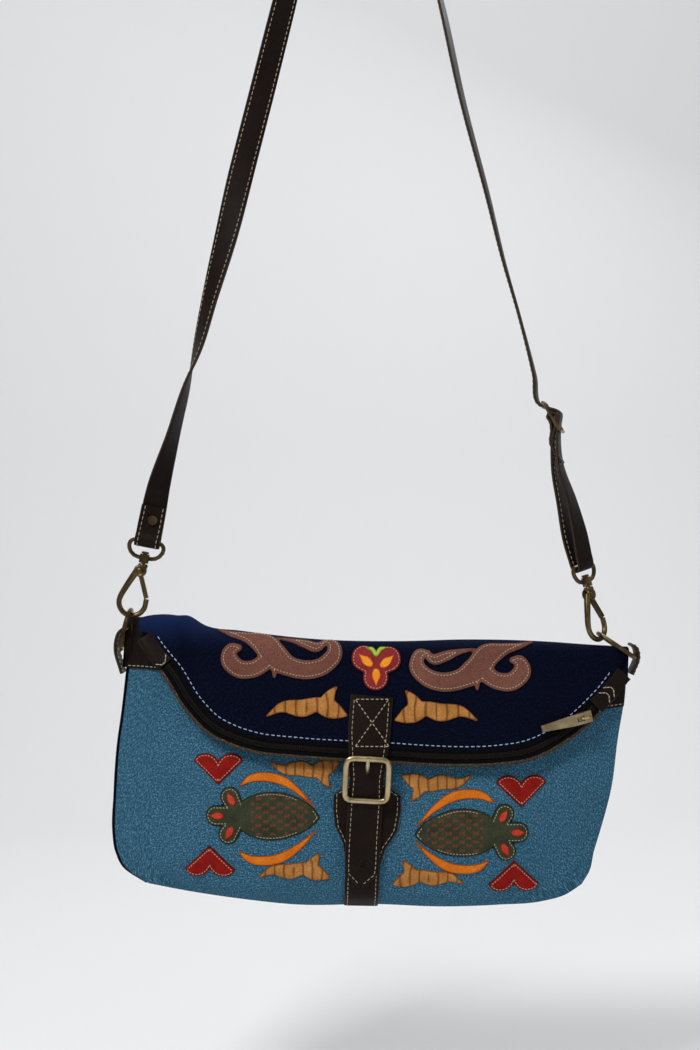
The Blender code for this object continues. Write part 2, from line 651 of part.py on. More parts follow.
def shoulder_strap(leather, brass):
    route = strap_route()
    route = through(route, 2)
    path = route[:, :3]
    turn = np.radians(route[:, 3])
    tilt = np.radians(route[:, 4])
    wide = np.stack([np.cos(turn) * np.cos(tilt), np.sin(turn), -np.cos(turn) * np.sin(tilt)], axis=1)
    strap = ribbon("shoulder_strap", path, wide, STRAP_WIDTH, STRAP_THICK, leather)

    frame = HOOKS["left"]
    at = frame @ Vector((0, 0, EYE_RISE + 13 * MM))
    out = Vector((-0.25, 0.968, 0))
    face = 1.35 * MM + STRAP_THICK / 2 + GAP
    hole = rod("rivet_hole", at - out * 9 * MM, at + out * 9 * MM, RIVET_SHANK + GAP, brass, 12)
    combine(strap, "DIFFERENCE", [hole])
    rivet = rod("strap_rivet", at - out * face, at - out * (face + 1.1 * MM), RIVET_RADIUS, brass)
    shank = rod("rivet_shank", at - out * (face + 0.3 * MM), at + out * (face + 0.3 * MM), RIVET_SHANK, brass, 12)
    back = rod("rivet_back", at + out * face, at + out * (face + 0.9 * MM), RIVET_RADIUS, brass)
    combine(rivet, "UNION", [shank, back])

    slide = slide_frame()
    side = STRAP_WIDTH / 2 + GAP + SLIDE_BAR
    outline = [(-SLIDE_REACH, -side), (SLIDE_REACH, -side), (SLIDE_REACH, side), (-SLIDE_REACH, side)]
    path = [slide @ Vector((a, b, 0)) for a, b in outline]
    normal = slide.to_3x3() @ Vector((0, 0, 1))
    frame_loop = tube("strap_slide", rounded([tuple(p) for p in path], 2 * MM), SLIDE_BAR, tuple(normal), brass,
                      cyclic=True)
    bar = rod("slide_bar", slide @ Vector((0, -side, 0)), slide @ Vector((0, side, 0)), SLIDE_BAR, brass, 10)
    combine(frame_loop, "UNION", [bar])


def rounded(corners, radius):
    """Closed outline with its corners cut round by the given radius."""
    corners = np.array(corners, dtype=float)
    points = []
    for k, corner in enumerate(corners):
        before = corners[k - 1] - corner
        after = corners[(k + 1) % len(corners)] - corner
        start = corner + before / np.linalg.norm(before) * radius
        end = corner + after / np.linalg.norm(after) * radius
        for t in (0, 0.25, 0.5, 0.75, 1):
            points.append(start * (1 - t) ** 2 + corner * 2 * t * (1 - t) + end * t ** 2)
    return np.array(points)


def slider_frame():
    """Hinge of the zip pull: local X along the pull, local Y the hinge and local Z off the surface."""
    path, normal = rim_path(401)
    pick = round(SLIDER_AT * 400)
    foot = path[pick] + normal[pick] * (PIPING + BAND) / 2
    rise = 0.2 * MM + COIL_HEIGHT / 2 + GAP + SLIDER[2]
    hinge = Vector(seat(on_flap, foot[0], foot[1], rise + 1.3 * MM))
    tip = foot + np.array([-0.972, -0.236]) * PULL_LENGTH
    tip = Vector(seat(on_flap, tip[0], tip[1], CANVAS / 2 + PULL_THICK + 2.2 * MM))
    out = (Vector(seat(on_flap, foot[0], foot[1], 1.0)) - Vector(on_flap(foot[0], foot[1]))).normalized()
    along = (tip - hinge).normalized()
    axis = out.cross(along).normalized()
    up = along.cross(axis)
    return Matrix.Translation(hinge) @ Matrix((along, axis, up)).transposed().to_4x4()


def zip_slider(brass):
    """Slider with a round bridge, and the flat pull that swings on it."""
    frame = slider_frame()
    length, width, thick = SLIDER
    body = block("zip_slider", (-length / 2, -width / 2, -1.3 * MM - thick), (length / 2, width / 2, -1.3 * MM), brass)
    angle = np.radians(np.linspace(0, 180, 13))
    arch = np.stack([BRIDGE_RADIUS * np.cos(angle), 0 * angle, BRIDGE_RADIUS * np.sin(angle)], axis=1)
    foot = np.array([(BRIDGE_RADIUS, 0, -1.8 * MM)])
    arch = np.vstack([foot, arch, foot * (-1, 1, 1)])
    bridge = tube("zip_bridge", arch, BRIDGE_WIRE, (0, 1, 0), brass)
    combine(body, "UNION", [bridge])
    place(body, frame)

    half = PULL_WIDTH / 2
    outline = [(-0.8 * MM, -half + 1.2 * MM), (0.4 * MM, -half), (8 * MM, -half), (PULL_LENGTH, -half + 1.4 * MM),
               (PULL_LENGTH, half - 1.4 * MM), (8 * MM, half), (0.4 * MM, half), (-0.8 * MM, half - 1.2 * MM)]
    count = len(outline)
    verts = [(x, y, z) for z in (-PULL_THICK / 2, PULL_THICK / 2) for x, y in outline]
    faces = [tuple(range(count))[::-1], tuple(range(count, 2 * count))]
    faces += [(k, (k + 1) % count, (k + 1) % count + count, k + count) for k in range(count)]
    pull = add_mesh("zip_pull", verts, faces, brass, smooth=False)
    hole = block("pull_hole", (0.8 * MM, -1.5 * MM, -3 * MM), (5.2 * MM, 1.5 * MM, 3 * MM), brass)
    combine(pull, "DIFFERENCE", [hole])
    place(pull, frame)


# Closure strap: drop as a share of BAG_DROP, across as a share of BAG_WIDTH, lift off the face below it
ON_FLAP = [(0.269, 0.0235, 2.0), (0.33, 0.0205, 2.0), (0.39, 0.0180, 2.05), (0.445, 0.0160, 2.6)]
BUCKLE_DROP = 0.541
BELOW = [(0.617, 0.0110, 7.4), (0.68, 0.0085, 5.2), (0.75, 0.0060, 4.5), (0.83, 0.0040, 4.4), (0.908, 0.0010, 4.4)]
BASE_ROUTE = [(0.985, 0.002), (0.95, 0.003), (0.89, 0.004), (0.83, 0.006), (0.77, 0.009), (0.715, 0.012),
              (0.66, 0.0135), (0.605, 0.0142), (0.565, 0.0146)]


def face_point(place, row, lift):
    across = np.array(row[1] * BAG_WIDTH)
    return seat(place, across, np.array(BAG_TOP - row[0] * BAG_DROP), lift)


def buckle_frame():
    """Middle of the closure strap at the buckle: local Z up the strap, local Y into the bag."""
    above = Vector(face_point(on_flap, ON_FLAP[-1], ON_FLAP[-1][2] * MM))
    below = Vector(face_point(on_pouch, BELOW[0], BELOW[0][2] * MM))
    z = BAG_TOP - BUCKLE_DROP * BAG_DROP
    share = (above.z - z) / (above.z - below.z)
    middle = above.lerp(below, share)
    up = (above - below).normalized()
    right = Vector((1, 0, 0))
    right = (right - up * right.dot(up)).normalized()
    return Matrix.Translation(middle) @ Matrix((right, up.cross(right), up)).transposed().to_4x4()


def closure(leather, brass):
    """Closure strap, the base strap that holds the buckle, the buckle and its prong."""
    frame = buckle_frame()
    points = [face_point(on_flap, row, row[2] * MM) for row in ON_FLAP]
    points.append(np.array(frame.translation))
    points += [face_point(on_pouch, row, row[2] * MM) for row in BELOW]
    widths = [CLOSURE_WIDTH] * 3 + [CLOSURE_WIDTH - 2 * MM] + [TONGUE_WIDTH - 1 * MM] + [TONGUE_WIDTH] * 4
    widths += [1.5 * MM]
    tip = points[-1] + (points[-2] - points[-1]) * 0.62
    points.insert(-1, tip)
    widths.insert(-1, TONGUE_WIDTH * 0.96)
    steps = 3
    path = through(points, steps)
    at = np.arange(len(path)) / steps
    width = np.interp(at, np.arange(len(widths)), widths)
    strap = ribbon("closure_strap", path, (1, 0, 0), width, CLOSURE_THICK, leather)
    slot = block("prong_slot", (-PRONG_WIRE - GAP, -6 * MM, -1.6 * MM), (PRONG_WIRE + GAP, 6 * MM, 7 * MM), brass)
    place(slot, frame)
    hole_at = Vector(points[8])
    hole = rod("punched_hole", hole_at - Vector((0, 4 * MM, 0)), hole_at + Vector((0, 4 * MM, 0)), 1.2 * MM, brass, 10)
    combine(strap, "DIFFERENCE", [slot, hole])

    wrap = CENTRE_BAR + 2 * GAP + BASE_THICK / 2
    bar = Vector((0, CLOSURE_THICK / 2 + GAP + BASE_THICK + 2 * GAP + CENTRE_BAR, 0))
    lift = CANVAS / 2 + GAP + BASE_THICK / 2
    points = [face_point(on_pouch, row, lift) for row in BASE_ROUTE]
    widths = [TONGUE_WIDTH] * 4 + [TONGUE_WIDTH + 5 * MM, BASE_WIDTH - 3 * MM, BASE_WIDTH, BASE_WIDTH,
                                   TONGUE_WIDTH - 2.5 * MM]
    for turn in np.radians([20, 70, 120, 180]):
        points.append(np.array(frame @ (bar + Vector((0, wrap * math.cos(turn), wrap * math.sin(turn))))))
        widths.append(TONGUE_WIDTH - 2.5 * MM)
    for down in (4 * MM, 9 * MM):
        points.append(np.array(frame @ (bar + Vector((0, -wrap, -down)))))
        widths.append(TONGUE_WIDTH - 2.5 * MM)
    path = through(points, steps)
    at = np.arange(len(path)) / steps
    width = np.interp(at, np.arange(len(widths)), widths)
    base = ribbon("base_strap", path, (1, 0, 0), width, BASE_THICK, leather)
    notch = block("base_slot", (-PRONG_WIRE - GAP, bar.y - 4 * MM, -3 * MM), (PRONG_WIRE + GAP, bar.y + 4 * MM, 5 * MM),
                  brass)
    place(notch, frame)
    combine(base, "DIFFERENCE", [notch])

    front = -CLOSURE_THICK / 2 - GAP - BUCKLE_WIRE
    half = (BUCKLE_WIDTH / 2 - BUCKLE_WIRE, BUCKLE_HEIGHT / 2 - BUCKLE_WIRE)
    outline = rounded([(-half[0], front, -half[1]), (half[0], front, -half[1]), (half[0], front, half[1]),
                       (-half[0], front, half[1])], 3 * MM)
    buckle = tube("closure_buckle", outline, BUCKLE_WIRE, (0, 1, 0), brass, cyclic=True)
    posts = [rod(f"buckle_post_{k}", (s * half[0], front, 0), (s * half[0], bar.y + CENTRE_BAR, 0), 1.1 * MM, brass, 10)
             for k, s in enumerate((-1, 1))]
    centre = rod("buckle_bar", (-half[0], bar.y, 0), (half[0], bar.y, 0), CENTRE_BAR, brass, 12)
    combine(buckle, "UNION", posts + [centre])
    place(buckle, frame)

    knuckle = rod("buckle_prong", (-PRONG_WIRE, bar.y, 0), (PRONG_WIRE, bar.y, 0), 2.0 * MM, brass)
    over = front - BUCKLE_WIRE - GAP - PRONG_WIRE
    line = through([(0, bar.y - 1.2 * MM, 0.9 * MM), (0, 0, 3.4 * MM), (0, over * 0.9, 7.5 * MM),
                    (0, over, half[1] + 1.2 * MM)], 4)
    shaft = tube("prong_shaft", line, PRONG_WIRE, (1, 0, 0), brass)
    bore = rod("prong_bore", (-3 * MM, bar.y, 0), (3 * MM, bar.y, 0), CENTRE_BAR + GAP, brass, 12)
    combine(knuckle, "UNION", [shaft])
    combine(knuckle, "DIFFERENCE", [bore])
    place(knuckle, frame)


# Ornament outlines: strokes of (across, up, half width), as shares of the ornament's width
SHAPES = {
    "scroll": [
        [(-0.50, 0.190, 0.010), (-0.41, 0.149, 0.022), (-0.26, 0.118, 0.045), (-0.136, 0.073, 0.070),
         (-0.055, -0.027, 0.075), (0.064, -0.100, 0.062), (0.227, -0.131, 0.062), (0.355, -0.090, 0.060),
         (0.430, 0.000, 0.055), (0.405, 0.075, 0.038), (0.336, 0.085, 0.020)],
        [(-0.027, 0.122, 0.008), (0.10, 0.100, 0.022), (0.20, 0.070, 0.038), (0.29, 0.045, 0.040), (0.35, 0.080, 0.022)],
        [(-0.10, -0.050, 0.050), (-0.209, -0.118, 0.055), (-0.336, -0.118, 0.062), (-0.41, -0.036, 0.055),
         (-0.373, 0.060, 0.042), (-0.285, 0.075, 0.026)],
        [(-0.045, -0.100, 0.035), (-0.050, -0.187, 0.010)],
    ],
    "trefoil": [
        [(-0.244, 0.190, 0.250), (-0.10, 0.08, 0.22)],
        [(0.249, 0.170, 0.250), (0.10, 0.08, 0.22)],
        [(0.000, 0.050, 0.200), (-0.010, -0.190, 0.255)],
    ],
    "leaf": [
        [(-0.493, -0.155, 0.012), (-0.30, -0.050, 0.065), (-0.048, -0.062, 0.108), (0.135, -0.020, 0.090),
         (0.29, -0.070, 0.115), (0.43, -0.127, 0.055), (0.50, -0.150, 0.015)],
        [(0.248, 0.000, 0.100), (0.304, 0.113, 0.055), (0.369, 0.190, 0.015)],
    ],
    "crescent": [
        [(-0.49, 0.064, 0.012), (-0.364, 0.148, 0.048), (-0.12, 0.170, 0.062), (0.06, 0.124, 0.060),
         (0.27, -0.012, 0.040), (0.485, -0.215, 0.010)],
    ],
    "heart": [
        [(-0.29, 0.170, 0.200), (-0.12, -0.050, 0.170), (0.0, -0.360, 0.015)],
        [(0.29, 0.170, 0.200), (0.12, -0.050, 0.170), (0.0, -0.360, 0.015)],
    ],
    "bud": [
        [(0.50, -0.010, 0.010), (0.384, 0.000, 0.100), (0.24, 0.0, 0.175), (0.10, 0.0, 0.210),
         (-0.02, 0.0, 0.195), (-0.124, 0.0, 0.130), (-0.20, 0.0, 0.080)],
        [(-0.20, 0.0, 0.070), (-0.285, 0.165, 0.088)],
        [(-0.22, 0.0, 0.090), (-0.41, 0.0, 0.090)],
        [(-0.20, 0.0, 0.070), (-0.300, -0.160, 0.088)],
    ],
}
# Ornaments: shape, place (fold or pouch), across and drop as shares of the bag, width, mirrored, turned over
ORNAMENTS = {
    "scroll_left": ("scroll", "fold", -0.157, 0.126, 73 * MM, 1, 1),
    "scroll_right": ("scroll", "fold", 0.219, 0.167, 73 * MM, -1, 1),
    "trefoil": ("trefoil", "fold", 0.032, 0.176, 29 * MM, 1, 1),
    "leaf_top_left": ("leaf", "fold", -0.105, 0.292, 46 * MM, 1, 1),
    "leaf_top_right": ("leaf", "fold", 0.150, 0.306, 47 * MM, -1, 1),
    "leaf_mid_left": ("leaf", "pouch", -0.110, 0.532, 40.5 * MM, 1, -1),
    "leaf_mid_right": ("leaf", "pouch", 0.153, 0.578, 40.5 * MM, -1, -1),
    "leaf_low_left": ("leaf", "pouch", -0.131, 0.847, 41 * MM, 1, 1),
    "leaf_low_right": ("leaf", "pouch", 0.136, 0.872, 41 * MM, -1, 1),
    "crescent_top_left": ("crescent", "pouch", -0.163, 0.590, 44 * MM, 1, 1),
    "crescent_low_left": ("crescent", "pouch", -0.162, 0.780, 46 * MM, 1, -1),
    "crescent_top_right": ("crescent", "pouch", 0.188, 0.649, 46 * MM, -1, 1),
    "crescent_low_right": ("crescent", "pouch", 0.181, 0.814, 44 * MM, -1, -1),
    "heart_top_left": ("heart", "pouch", -0.281, 0.517, 27.5 * MM, 1, 1),
    "heart_low_left": ("heart", "pouch", -0.298, 0.835, 28.5 * MM, 1, -1),
    "heart_top_right": ("heart", "pouch", 0.320, 0.592, 28.5 * MM, 1, 1),
    "heart_low_right": ("heart", "pouch", 0.306, 0.887, 28.5 * MM, 1, -1),
    "bud_left": ("bud", "pouch", -0.193, 0.676, 66 * MM, 1, 1),
    "bud_right": ("bud", "pouch", 0.222, 0.733, 66 * MM, -1, 1),
}


def shape_depth(shape, points):
    """Signed distance to a shape's edge, below zero inside, in shares of its width."""
    best = np.full(points.shape[:-1], 9.0)
    for stroke in SHAPES[shape]:
        for x, z, half in through(stroke, 8):
            best = np.minimum(best, np.hypot(points[..., 0] - x, points[..., 1] - z) - half)
    return best


def shape_mesh(shape, step):
    """Flat mesh of a shape: a square grid whose outer points are drawn onto the shape's edge."""
    xs = np.arange(-0.56, 0.56, step)
    zs = np.arange(-0.50, 0.50, step)
    grid = np.stack(np.meshgrid(xs, zs, indexing="ij"), axis=-1)
    depth = shape_depth(shape, grid)
    h = step / 20
    slope = np.stack([shape_depth(shape, grid + (h, 0)) - shape_depth(shape, grid - (h, 0)),
                      shape_depth(shape, grid + (0, h)) - shape_depth(shape, grid - (0, h))], axis=-1) / (2 * h)
    slope /= np.maximum(np.linalg.norm(slope, axis=-1), 0.5)[..., None]
    near = np.abs(depth) < 0.55 * step
    grid = np.where(near[..., None], grid - slope * depth[..., None], grid)
    keep = (depth < 0) | near
    index = np.arange(keep.size).reshape(keep.shape)
    quads = np.stack([index[:-1, :-1], index[1:, :-1], index[1:, 1:], index[:-1, 1:]], axis=-1).reshape(-1, 4)
    flags = keep.ravel()[quads]
    faces = [list(q) for q in quads[flags.all(axis=1)]]
    faces += [[v for v, k in zip(q, f) if k] for q, f in zip(quads, flags) if f.sum() == 3]
    return grid.reshape(-1, 2), faces


# Spacing of the grid that each ornament is cut from
PATCH_STEP = {"scroll": 3.9 * MM, "bud": 4.2 * MM, "trefoil": 3.5 * MM, "heart": 3.2 * MM, "leaf": 3.3 * MM,
              "crescent": 3.2 * MM}


def ornament(name, row, mat):
    """A thin plate with the ornament's outline that follows the canvas under it."""
    shape, where, across, drop, width, mirror, turn = row
    step = PATCH_STEP[shape] / width
    flat, faces = shape_mesh(shape, step)
    used = sorted({v for f in faces for v in f})
    flat = flat[used] * width * (mirror, turn)
    x = across * BAG_WIDTH + flat[:, 0]
    z = BAG_TOP - drop * BAG_DROP + flat[:, 1]
    lift = CANVAS / 2 + GAP
    if where == "fold":
        height = z - top_z(x) - (np.pi / 2 - 1) * fold_rise(x)
        layers = [seat(on_fold, x, height, lift + FOLD_EASE + PATCH * k) for k in (0, 1)]
    else:
        layers = [seat(on_pouch, x, z, lift + PATCH * k) for k in (0, 1)]
    place_of = {v: k for k, v in enumerate(used)}
    order = 1 if mirror * turn > 0 else -1
    faces = [[place_of[v] for v in f][::order] for f in faces]
    return add_mesh(name, np.vstack(layers), plate_faces(faces, len(used)), mat)


def plate_faces(faces, count):
    """Faces of a plate whose upper points follow the lower ones in the list."""
    edges = {(a, b) for f in faces for a, b in zip(f, f[1:] + f[:1])}
    sides = [[a, b, b + count, a + count] for a, b in edges if (b, a) not in edges]
    return [f[::-1] for f in faces] + [[v + count for v in f] for f in faces] + sorted(sides)


def main():
    clear_scene()
    navy = material("navy_canvas", (0.006, 0.010, 0.045), 0.9)
    blue = material("blue_canvas", (0.05, 0.17, 0.28), 0.9)
    tape = material("zip_tape", (0.008, 0.007, 0.007), 0.8)
    coil = material("zip_coil", (0.010, 0.009, 0.008), 0.45)
    trim = material("edge_trim", (0.22, 0.19, 0.14), 0.8)
    leather = material("dark_leather", (0.012, 0.008, 0.006), 0.45)
    brass = material("antique_brass", (0.28, 0.20, 0.10), 0.35, 1.0)
    colours = {
        "scroll": material("brown_leather", (0.20, 0.075, 0.05), 0.6),
        "trefoil": material("red_leather", (0.25, 0.022, 0.03), 0.6),
        "leaf": material("tan_felt", (0.55, 0.25, 0.08), 0.9),
        "crescent": material("orange_felt", (0.75, 0.20, 0.02), 0.9),
        "heart": material("red_felt", (0.30, 0.012, 0.008), 0.9),
        "bud": material("olive_felt", (0.045, 0.05, 0.03), 0.9),
    }
    panels(navy, blue)
    zip_strips(tape, coil, trim)
    rim_strip("zip_end_left", 0.0, ZIP_FROM - 0.003, 0, BAND - 4 * GAP, 0, 1.6 * MM, leather, 6)
    rim_strip("zip_end_right", ZIP_TO + 0.003, 1.0, 0, BAND - GAP, 0, 1.6 * MM, leather, 7)
    zip_slider(brass)
    for side in ("left", "right"):
        snap_hook(side, brass)
        ring_and_tab(side, brass, leather)
    shoulder_strap(leather, brass)
    closure(leather, brass)
    for name, row in ORNAMENTS.items():
        ornament(name, row, colours[row[0]])


main()
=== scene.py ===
"""Looks of the fold-over crossbody bag: cloth, leather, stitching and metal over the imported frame.

Every surface is a function of two shares or a profile along a path, in metres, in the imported
model's own axes: X to the right, Y away from the viewer and Z up.
"""
import json
import math

import bpy
import numpy as np
from mathutils import Matrix, Vector

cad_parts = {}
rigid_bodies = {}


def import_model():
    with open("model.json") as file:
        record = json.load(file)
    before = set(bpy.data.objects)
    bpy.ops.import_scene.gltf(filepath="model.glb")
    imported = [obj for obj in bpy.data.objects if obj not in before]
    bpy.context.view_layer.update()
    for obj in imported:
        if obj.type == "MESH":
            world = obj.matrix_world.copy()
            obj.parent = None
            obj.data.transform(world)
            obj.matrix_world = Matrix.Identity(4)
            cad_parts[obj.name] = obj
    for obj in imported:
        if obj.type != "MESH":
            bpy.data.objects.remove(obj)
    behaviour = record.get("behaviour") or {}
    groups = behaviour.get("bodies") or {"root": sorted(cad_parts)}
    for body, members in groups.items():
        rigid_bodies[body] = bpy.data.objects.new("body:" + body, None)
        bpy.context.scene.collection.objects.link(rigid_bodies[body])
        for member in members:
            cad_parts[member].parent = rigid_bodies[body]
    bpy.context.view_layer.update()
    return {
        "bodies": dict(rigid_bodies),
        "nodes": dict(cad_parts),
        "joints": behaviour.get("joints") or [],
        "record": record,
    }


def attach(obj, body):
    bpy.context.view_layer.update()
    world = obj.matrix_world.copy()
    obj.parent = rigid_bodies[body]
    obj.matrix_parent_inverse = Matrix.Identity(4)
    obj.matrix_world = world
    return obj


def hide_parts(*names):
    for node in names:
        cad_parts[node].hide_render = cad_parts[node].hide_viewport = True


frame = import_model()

MM = 0.001
GAP = 0.3 * MM

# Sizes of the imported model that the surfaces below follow
BAG_WIDTH = 294 * MM
BAG_DROP = 172 * MM
BAG_TOP = -488 * MM
FLAP_DROP = 86.4 * MM
CANVAS = 1.4 * MM
SEAM = 0.9 * MM
FRONT_PUFF = 17 * MM
BACK_PUFF = 12 * MM
FLAP_PUFF = 6.5 * MM
FLAP_FLARE = 4 * MM
TURN = 2.6 * MM
LAYER = CANVAS + 0.45 * MM
BAND = 9.8 * MM
COIL_WIDTH = 3.6 * MM
COIL_HEIGHT = 1.6 * MM
TAPE = 0.8 * MM
PIPING = 1.6 * MM
ZIP_FROM = 0.065
ZIP_TO = 0.920
STRAP_WIDTH = 15 * MM
STRAP_THICK = 1.8 * MM
HANG_RADIUS = 17 * MM
BAR_RADIUS = 1.3 * MM
SLIDE_REACH = 10 * MM
SLIDE_BAR = 0.9 * MM
RING_HEIGHT = 24 * MM
TAB_WIDTH = 15 * MM
EYE_RISE = 13 * MM
HOOK_WIRE = 1.65 * MM
BOW_RADIUS = 7.9 * MM
BOW_DROP = 23.8 * MM
BOW_SHIFT = -2 * MM
CLOSURE_WIDTH = 24.5 * MM
TONGUE_WIDTH = 20 * MM
CLOSURE_THICK = 2 * MM
BASE_WIDTH = 39 * MM
BASE_THICK = 1.8 * MM
BUCKLE_WIDTH = 27.6 * MM
BUCKLE_HEIGHT = 27.6 * MM
BUCKLE_WIRE = 1.5 * MM
CENTRE_BAR = 0.9 * MM
PATCH = 1.0 * MM
PATCH_STEP = 0.75 * MM
PATCH_EDGE = 1.1 * MM
DOME_REACH = 3 * MM
SMALL_PATCH = 0.5 * MM
SMALL_STEP = 0.4 * MM
SMALL_EDGE = 0.8 * MM
FOLD_EASE = 0.5 * MM
FOLD_FROM = -0.430
FOLD_TO = 0.540

# Side edges of the pouch: drop, left and right as shares of BAG_DROP and BAG_WIDTH
EDGES = [
    (0.000, -0.456, 0.544),
    (0.184, -0.467, 0.538),
    (0.309, -0.475, 0.530),
    (0.398, -0.482, 0.521),
    (0.600, -0.490, 0.505),
    (0.743, -0.492, 0.483),
    (0.812, -0.486, 0.471),
    (0.880, -0.464, 0.462),
    (0.925, -0.425, 0.447),
]
# Top line: across as a share of BAG_WIDTH, drop as a share of BAG_DROP
TOP_LINE = [
    (-0.456, 0.042), (-0.430, 0.024), (-0.392, 0.006), (-0.350, 0.002), (-0.310, 0.040), (-0.240, 0.058),
    (-0.080, 0.088),
    (0.080, 0.094), (0.220, 0.088), (0.360, 0.094), (0.480, 0.108), (0.544, 0.114),
]
# Bottom seam: across as a share of BAG_WIDTH, drop as a share of BAG_DROP
BOTTOM_LINE = [
    (-0.425, 0.925), (-0.354, 0.948), (-0.241, 0.977), (-0.129, 0.997), (0.037, 0.996),
    (0.166, 1.004), (0.279, 0.998), (0.370, 0.985), (0.416, 0.962), (0.447, 0.928),
]
# Lower rim of the flap: across as a share of BAG_WIDTH, drop as a share of FLAP_DROP
RIM = [
    (-0.444, 0.175), (-0.420, 0.290), (-0.394, 0.394), (-0.345, 0.640), (-0.300, 0.787),
    (-0.262, 0.853), (-0.202, 0.913), (-0.125, 0.940), (0.063, 0.977), (0.194, 1.000),
    (0.270, 0.993), (0.337, 0.960), (0.409, 0.847), (0.491, 0.620), (0.540, 0.433),
]
# Swell of the pouch front and back down the bag, as shares of FRONT_PUFF and BACK_PUFF
SWELL = [
    (0.00, 0.10, 0.50), (0.15, 0.30, 0.68), (0.35, 0.62, 0.90), (0.60, 0.94, 1.00),
    (0.76, 1.00, 0.92), (0.88, 0.80, 0.68), (0.95, 0.50, 0.42), (1.00, 0.00, 0.00),
]


def table(rows, column, at):
    """Smooth curve through one column of a table, read where its first column equals at."""
    data = np.array(rows, dtype=float)
    xs = data[:, 0]
    ys = data[:, column]
    slopes = np.gradient(ys, xs)
    at = np.clip(at, xs[0], xs[-1])
    k = np.clip(np.searchsorted(xs, at, side="right") - 1, 0, len(xs) - 2)
    span = xs[k + 1] - xs[k]
    t = (at - xs[k]) / span
    rise = t * t * (3 - 2 * t)
    lead = t * (1 - t) ** 2 * span * slopes[k]
    trail = -t * t * (1 - t) * span * slopes[k + 1]
    return ys[k] * (1 - rise) + ys[k + 1] * rise + lead + trail


def through(points, steps):
    """Smooth path through the points, with the given steps between neighbours.

    Each stretch is a cubic whose end slopes are the slopes along the points' own spacing, so
    that points lying close together leave no kink. Columns past the third ride along.
    """
    p = np.array(points, dtype=float)
    gaps = np.linalg.norm(np.diff(p[:, :3], axis=0), axis=1)
    slopes = np.gradient(p, np.concatenate([[0], np.cumsum(gaps)]), axis=0)
    t = np.arange(steps)[:, None] / steps
    pieces = []
    for a, b, slope_a, slope_b, gap in zip(p[:-1], p[1:], slopes[:-1], slopes[1:], gaps):
        rise = t * t * (3 - 2 * t)
        bend = t * (1 - t) ** 2 * slope_a - t * t * (1 - t) * slope_b
        pieces.append(a * (1 - rise) + b * rise + gap * bend)
    return np.vstack(pieces + [p[-1:]])


def top_z(x):
    return BAG_TOP - BAG_DROP * table(TOP_LINE, 1, x / BAG_WIDTH)


def bottom_z(x):
    return BAG_TOP - BAG_DROP * table(BOTTOM_LINE, 1, x / BAG_WIDTH)


def edge_x(z, column):
    return BAG_WIDTH * table(EDGES, column, (BAG_TOP - z) / BAG_DROP)


def rim_z(x):
    return BAG_TOP - FLAP_DROP * table(RIM, 1, x / BAG_WIDTH)


def swell(x, z, column):
    """Share of the puff at a place on the pouch: none at the sides and the bottom, most low in the middle."""
    left = edge_x(z, 1)
    right = edge_x(z, 2)
    across = np.clip((x - left) / (right - left), 0, 1)
    down = np.clip((top_z(x) - z) / (top_z(x) - bottom_z(x)), 0, 1)
    return (1 - np.abs(2 * across - 1) ** 2.4) ** 0.75 * table(SWELL, column, down)


def pouch_y(x, z):
    return -SEAM - FRONT_PUFF * swell(x, z, 1)


def back_y(x, z):
    return SEAM + BACK_PUFF * swell(x, z, 2)


def flap_share(x, z):
    """Share of the way from the fold to the flap's rim."""
    return np.clip((top_z(x) - z) / (top_z(x) - rim_z(x)), 0, 1)


def lining_y(x, z):
    """Middle of the flap's inner layer."""
    return pouch_y(x, z) - TURN - FLAP_FLARE * flap_share(x, z) ** 2


def flap_y(x, z):
    """Middle of the flap's outer layer, a flat cushion over its inner layer."""
    centre = (RIM[0][0] + RIM[-1][0]) / 2 * BAG_WIDTH
    half = (RIM[-1][0] - RIM[0][0]) / 2 * BAG_WIDTH
    side = np.clip(np.abs(x - centre) / half, 0, 1)
    puff = (1 - flap_share(x, z) ** 5) ** 0.5 * (1 - side ** 4)
    return lining_y(x, z) - LAYER - FLAP_PUFF * puff


def fold_rise(x):
    """Height of the fold's arc, half its depth."""
    z = top_z(x) - 6 * MM
    return (back_y(x, z) - flap_y(x, z)) / 2


def rim_path(count):
    """Points and inward normals of the flap's rim in the XZ plane, evenly along its length."""
    rim = np.array(RIM) * (BAG_WIDTH, -FLAP_DROP)
    path = through(rim, 12)
    length = np.concatenate([[0], np.cumsum(np.linalg.norm(np.diff(path, axis=0), axis=1))])
    at = np.linspace(0, length[-1], count)
    path = np.stack([np.interp(at, length, path[:, k]) for k in range(2)], axis=1)
    run = np.gradient(path, axis=0)
    run /= np.linalg.norm(run, axis=1)[:, None]
    return path + (0, BAG_TOP), np.stack([-run[:, 1], run[:, 0]], axis=1)


def on_pouch(x, z):
    return np.stack([x, pouch_y(x, z), z], axis=-1)


def on_flap(x, z):
    return np.stack([x, flap_y(x, z), z], axis=-1)


def on_fold(x, height):
    """Place on the flap's outer face; height is minus the way down from the ridge along the face."""
    rise = fold_rise(x)
    start = top_z(x) - rise
    front = flap_y(x, start)
    half = (back_y(x, start) - front) / 2
    way = -height
    turn = np.clip(way / rise, -np.pi / 2, np.pi / 2)
    below = np.clip(way - rise * np.pi / 2, 0, None)
    flat = flap_y(x, start - below) - front
    z = start + rise * np.cos(turn) - below
    return np.stack([x, front + half * (1 - np.sin(turn)) + flat, z], axis=-1)


def seat(place, a, b, lift):
    """Puts points a distance in front of the surface place(a, b)."""
    h = 0.4 * MM
    normal = np.cross(place(a + h, b) - place(a - h, b), place(a, b + h) - place(a, b - h))
    normal /= np.linalg.norm(normal, axis=-1)[..., None]
    return place(a, b) + normal * np.asarray(lift)[..., None]


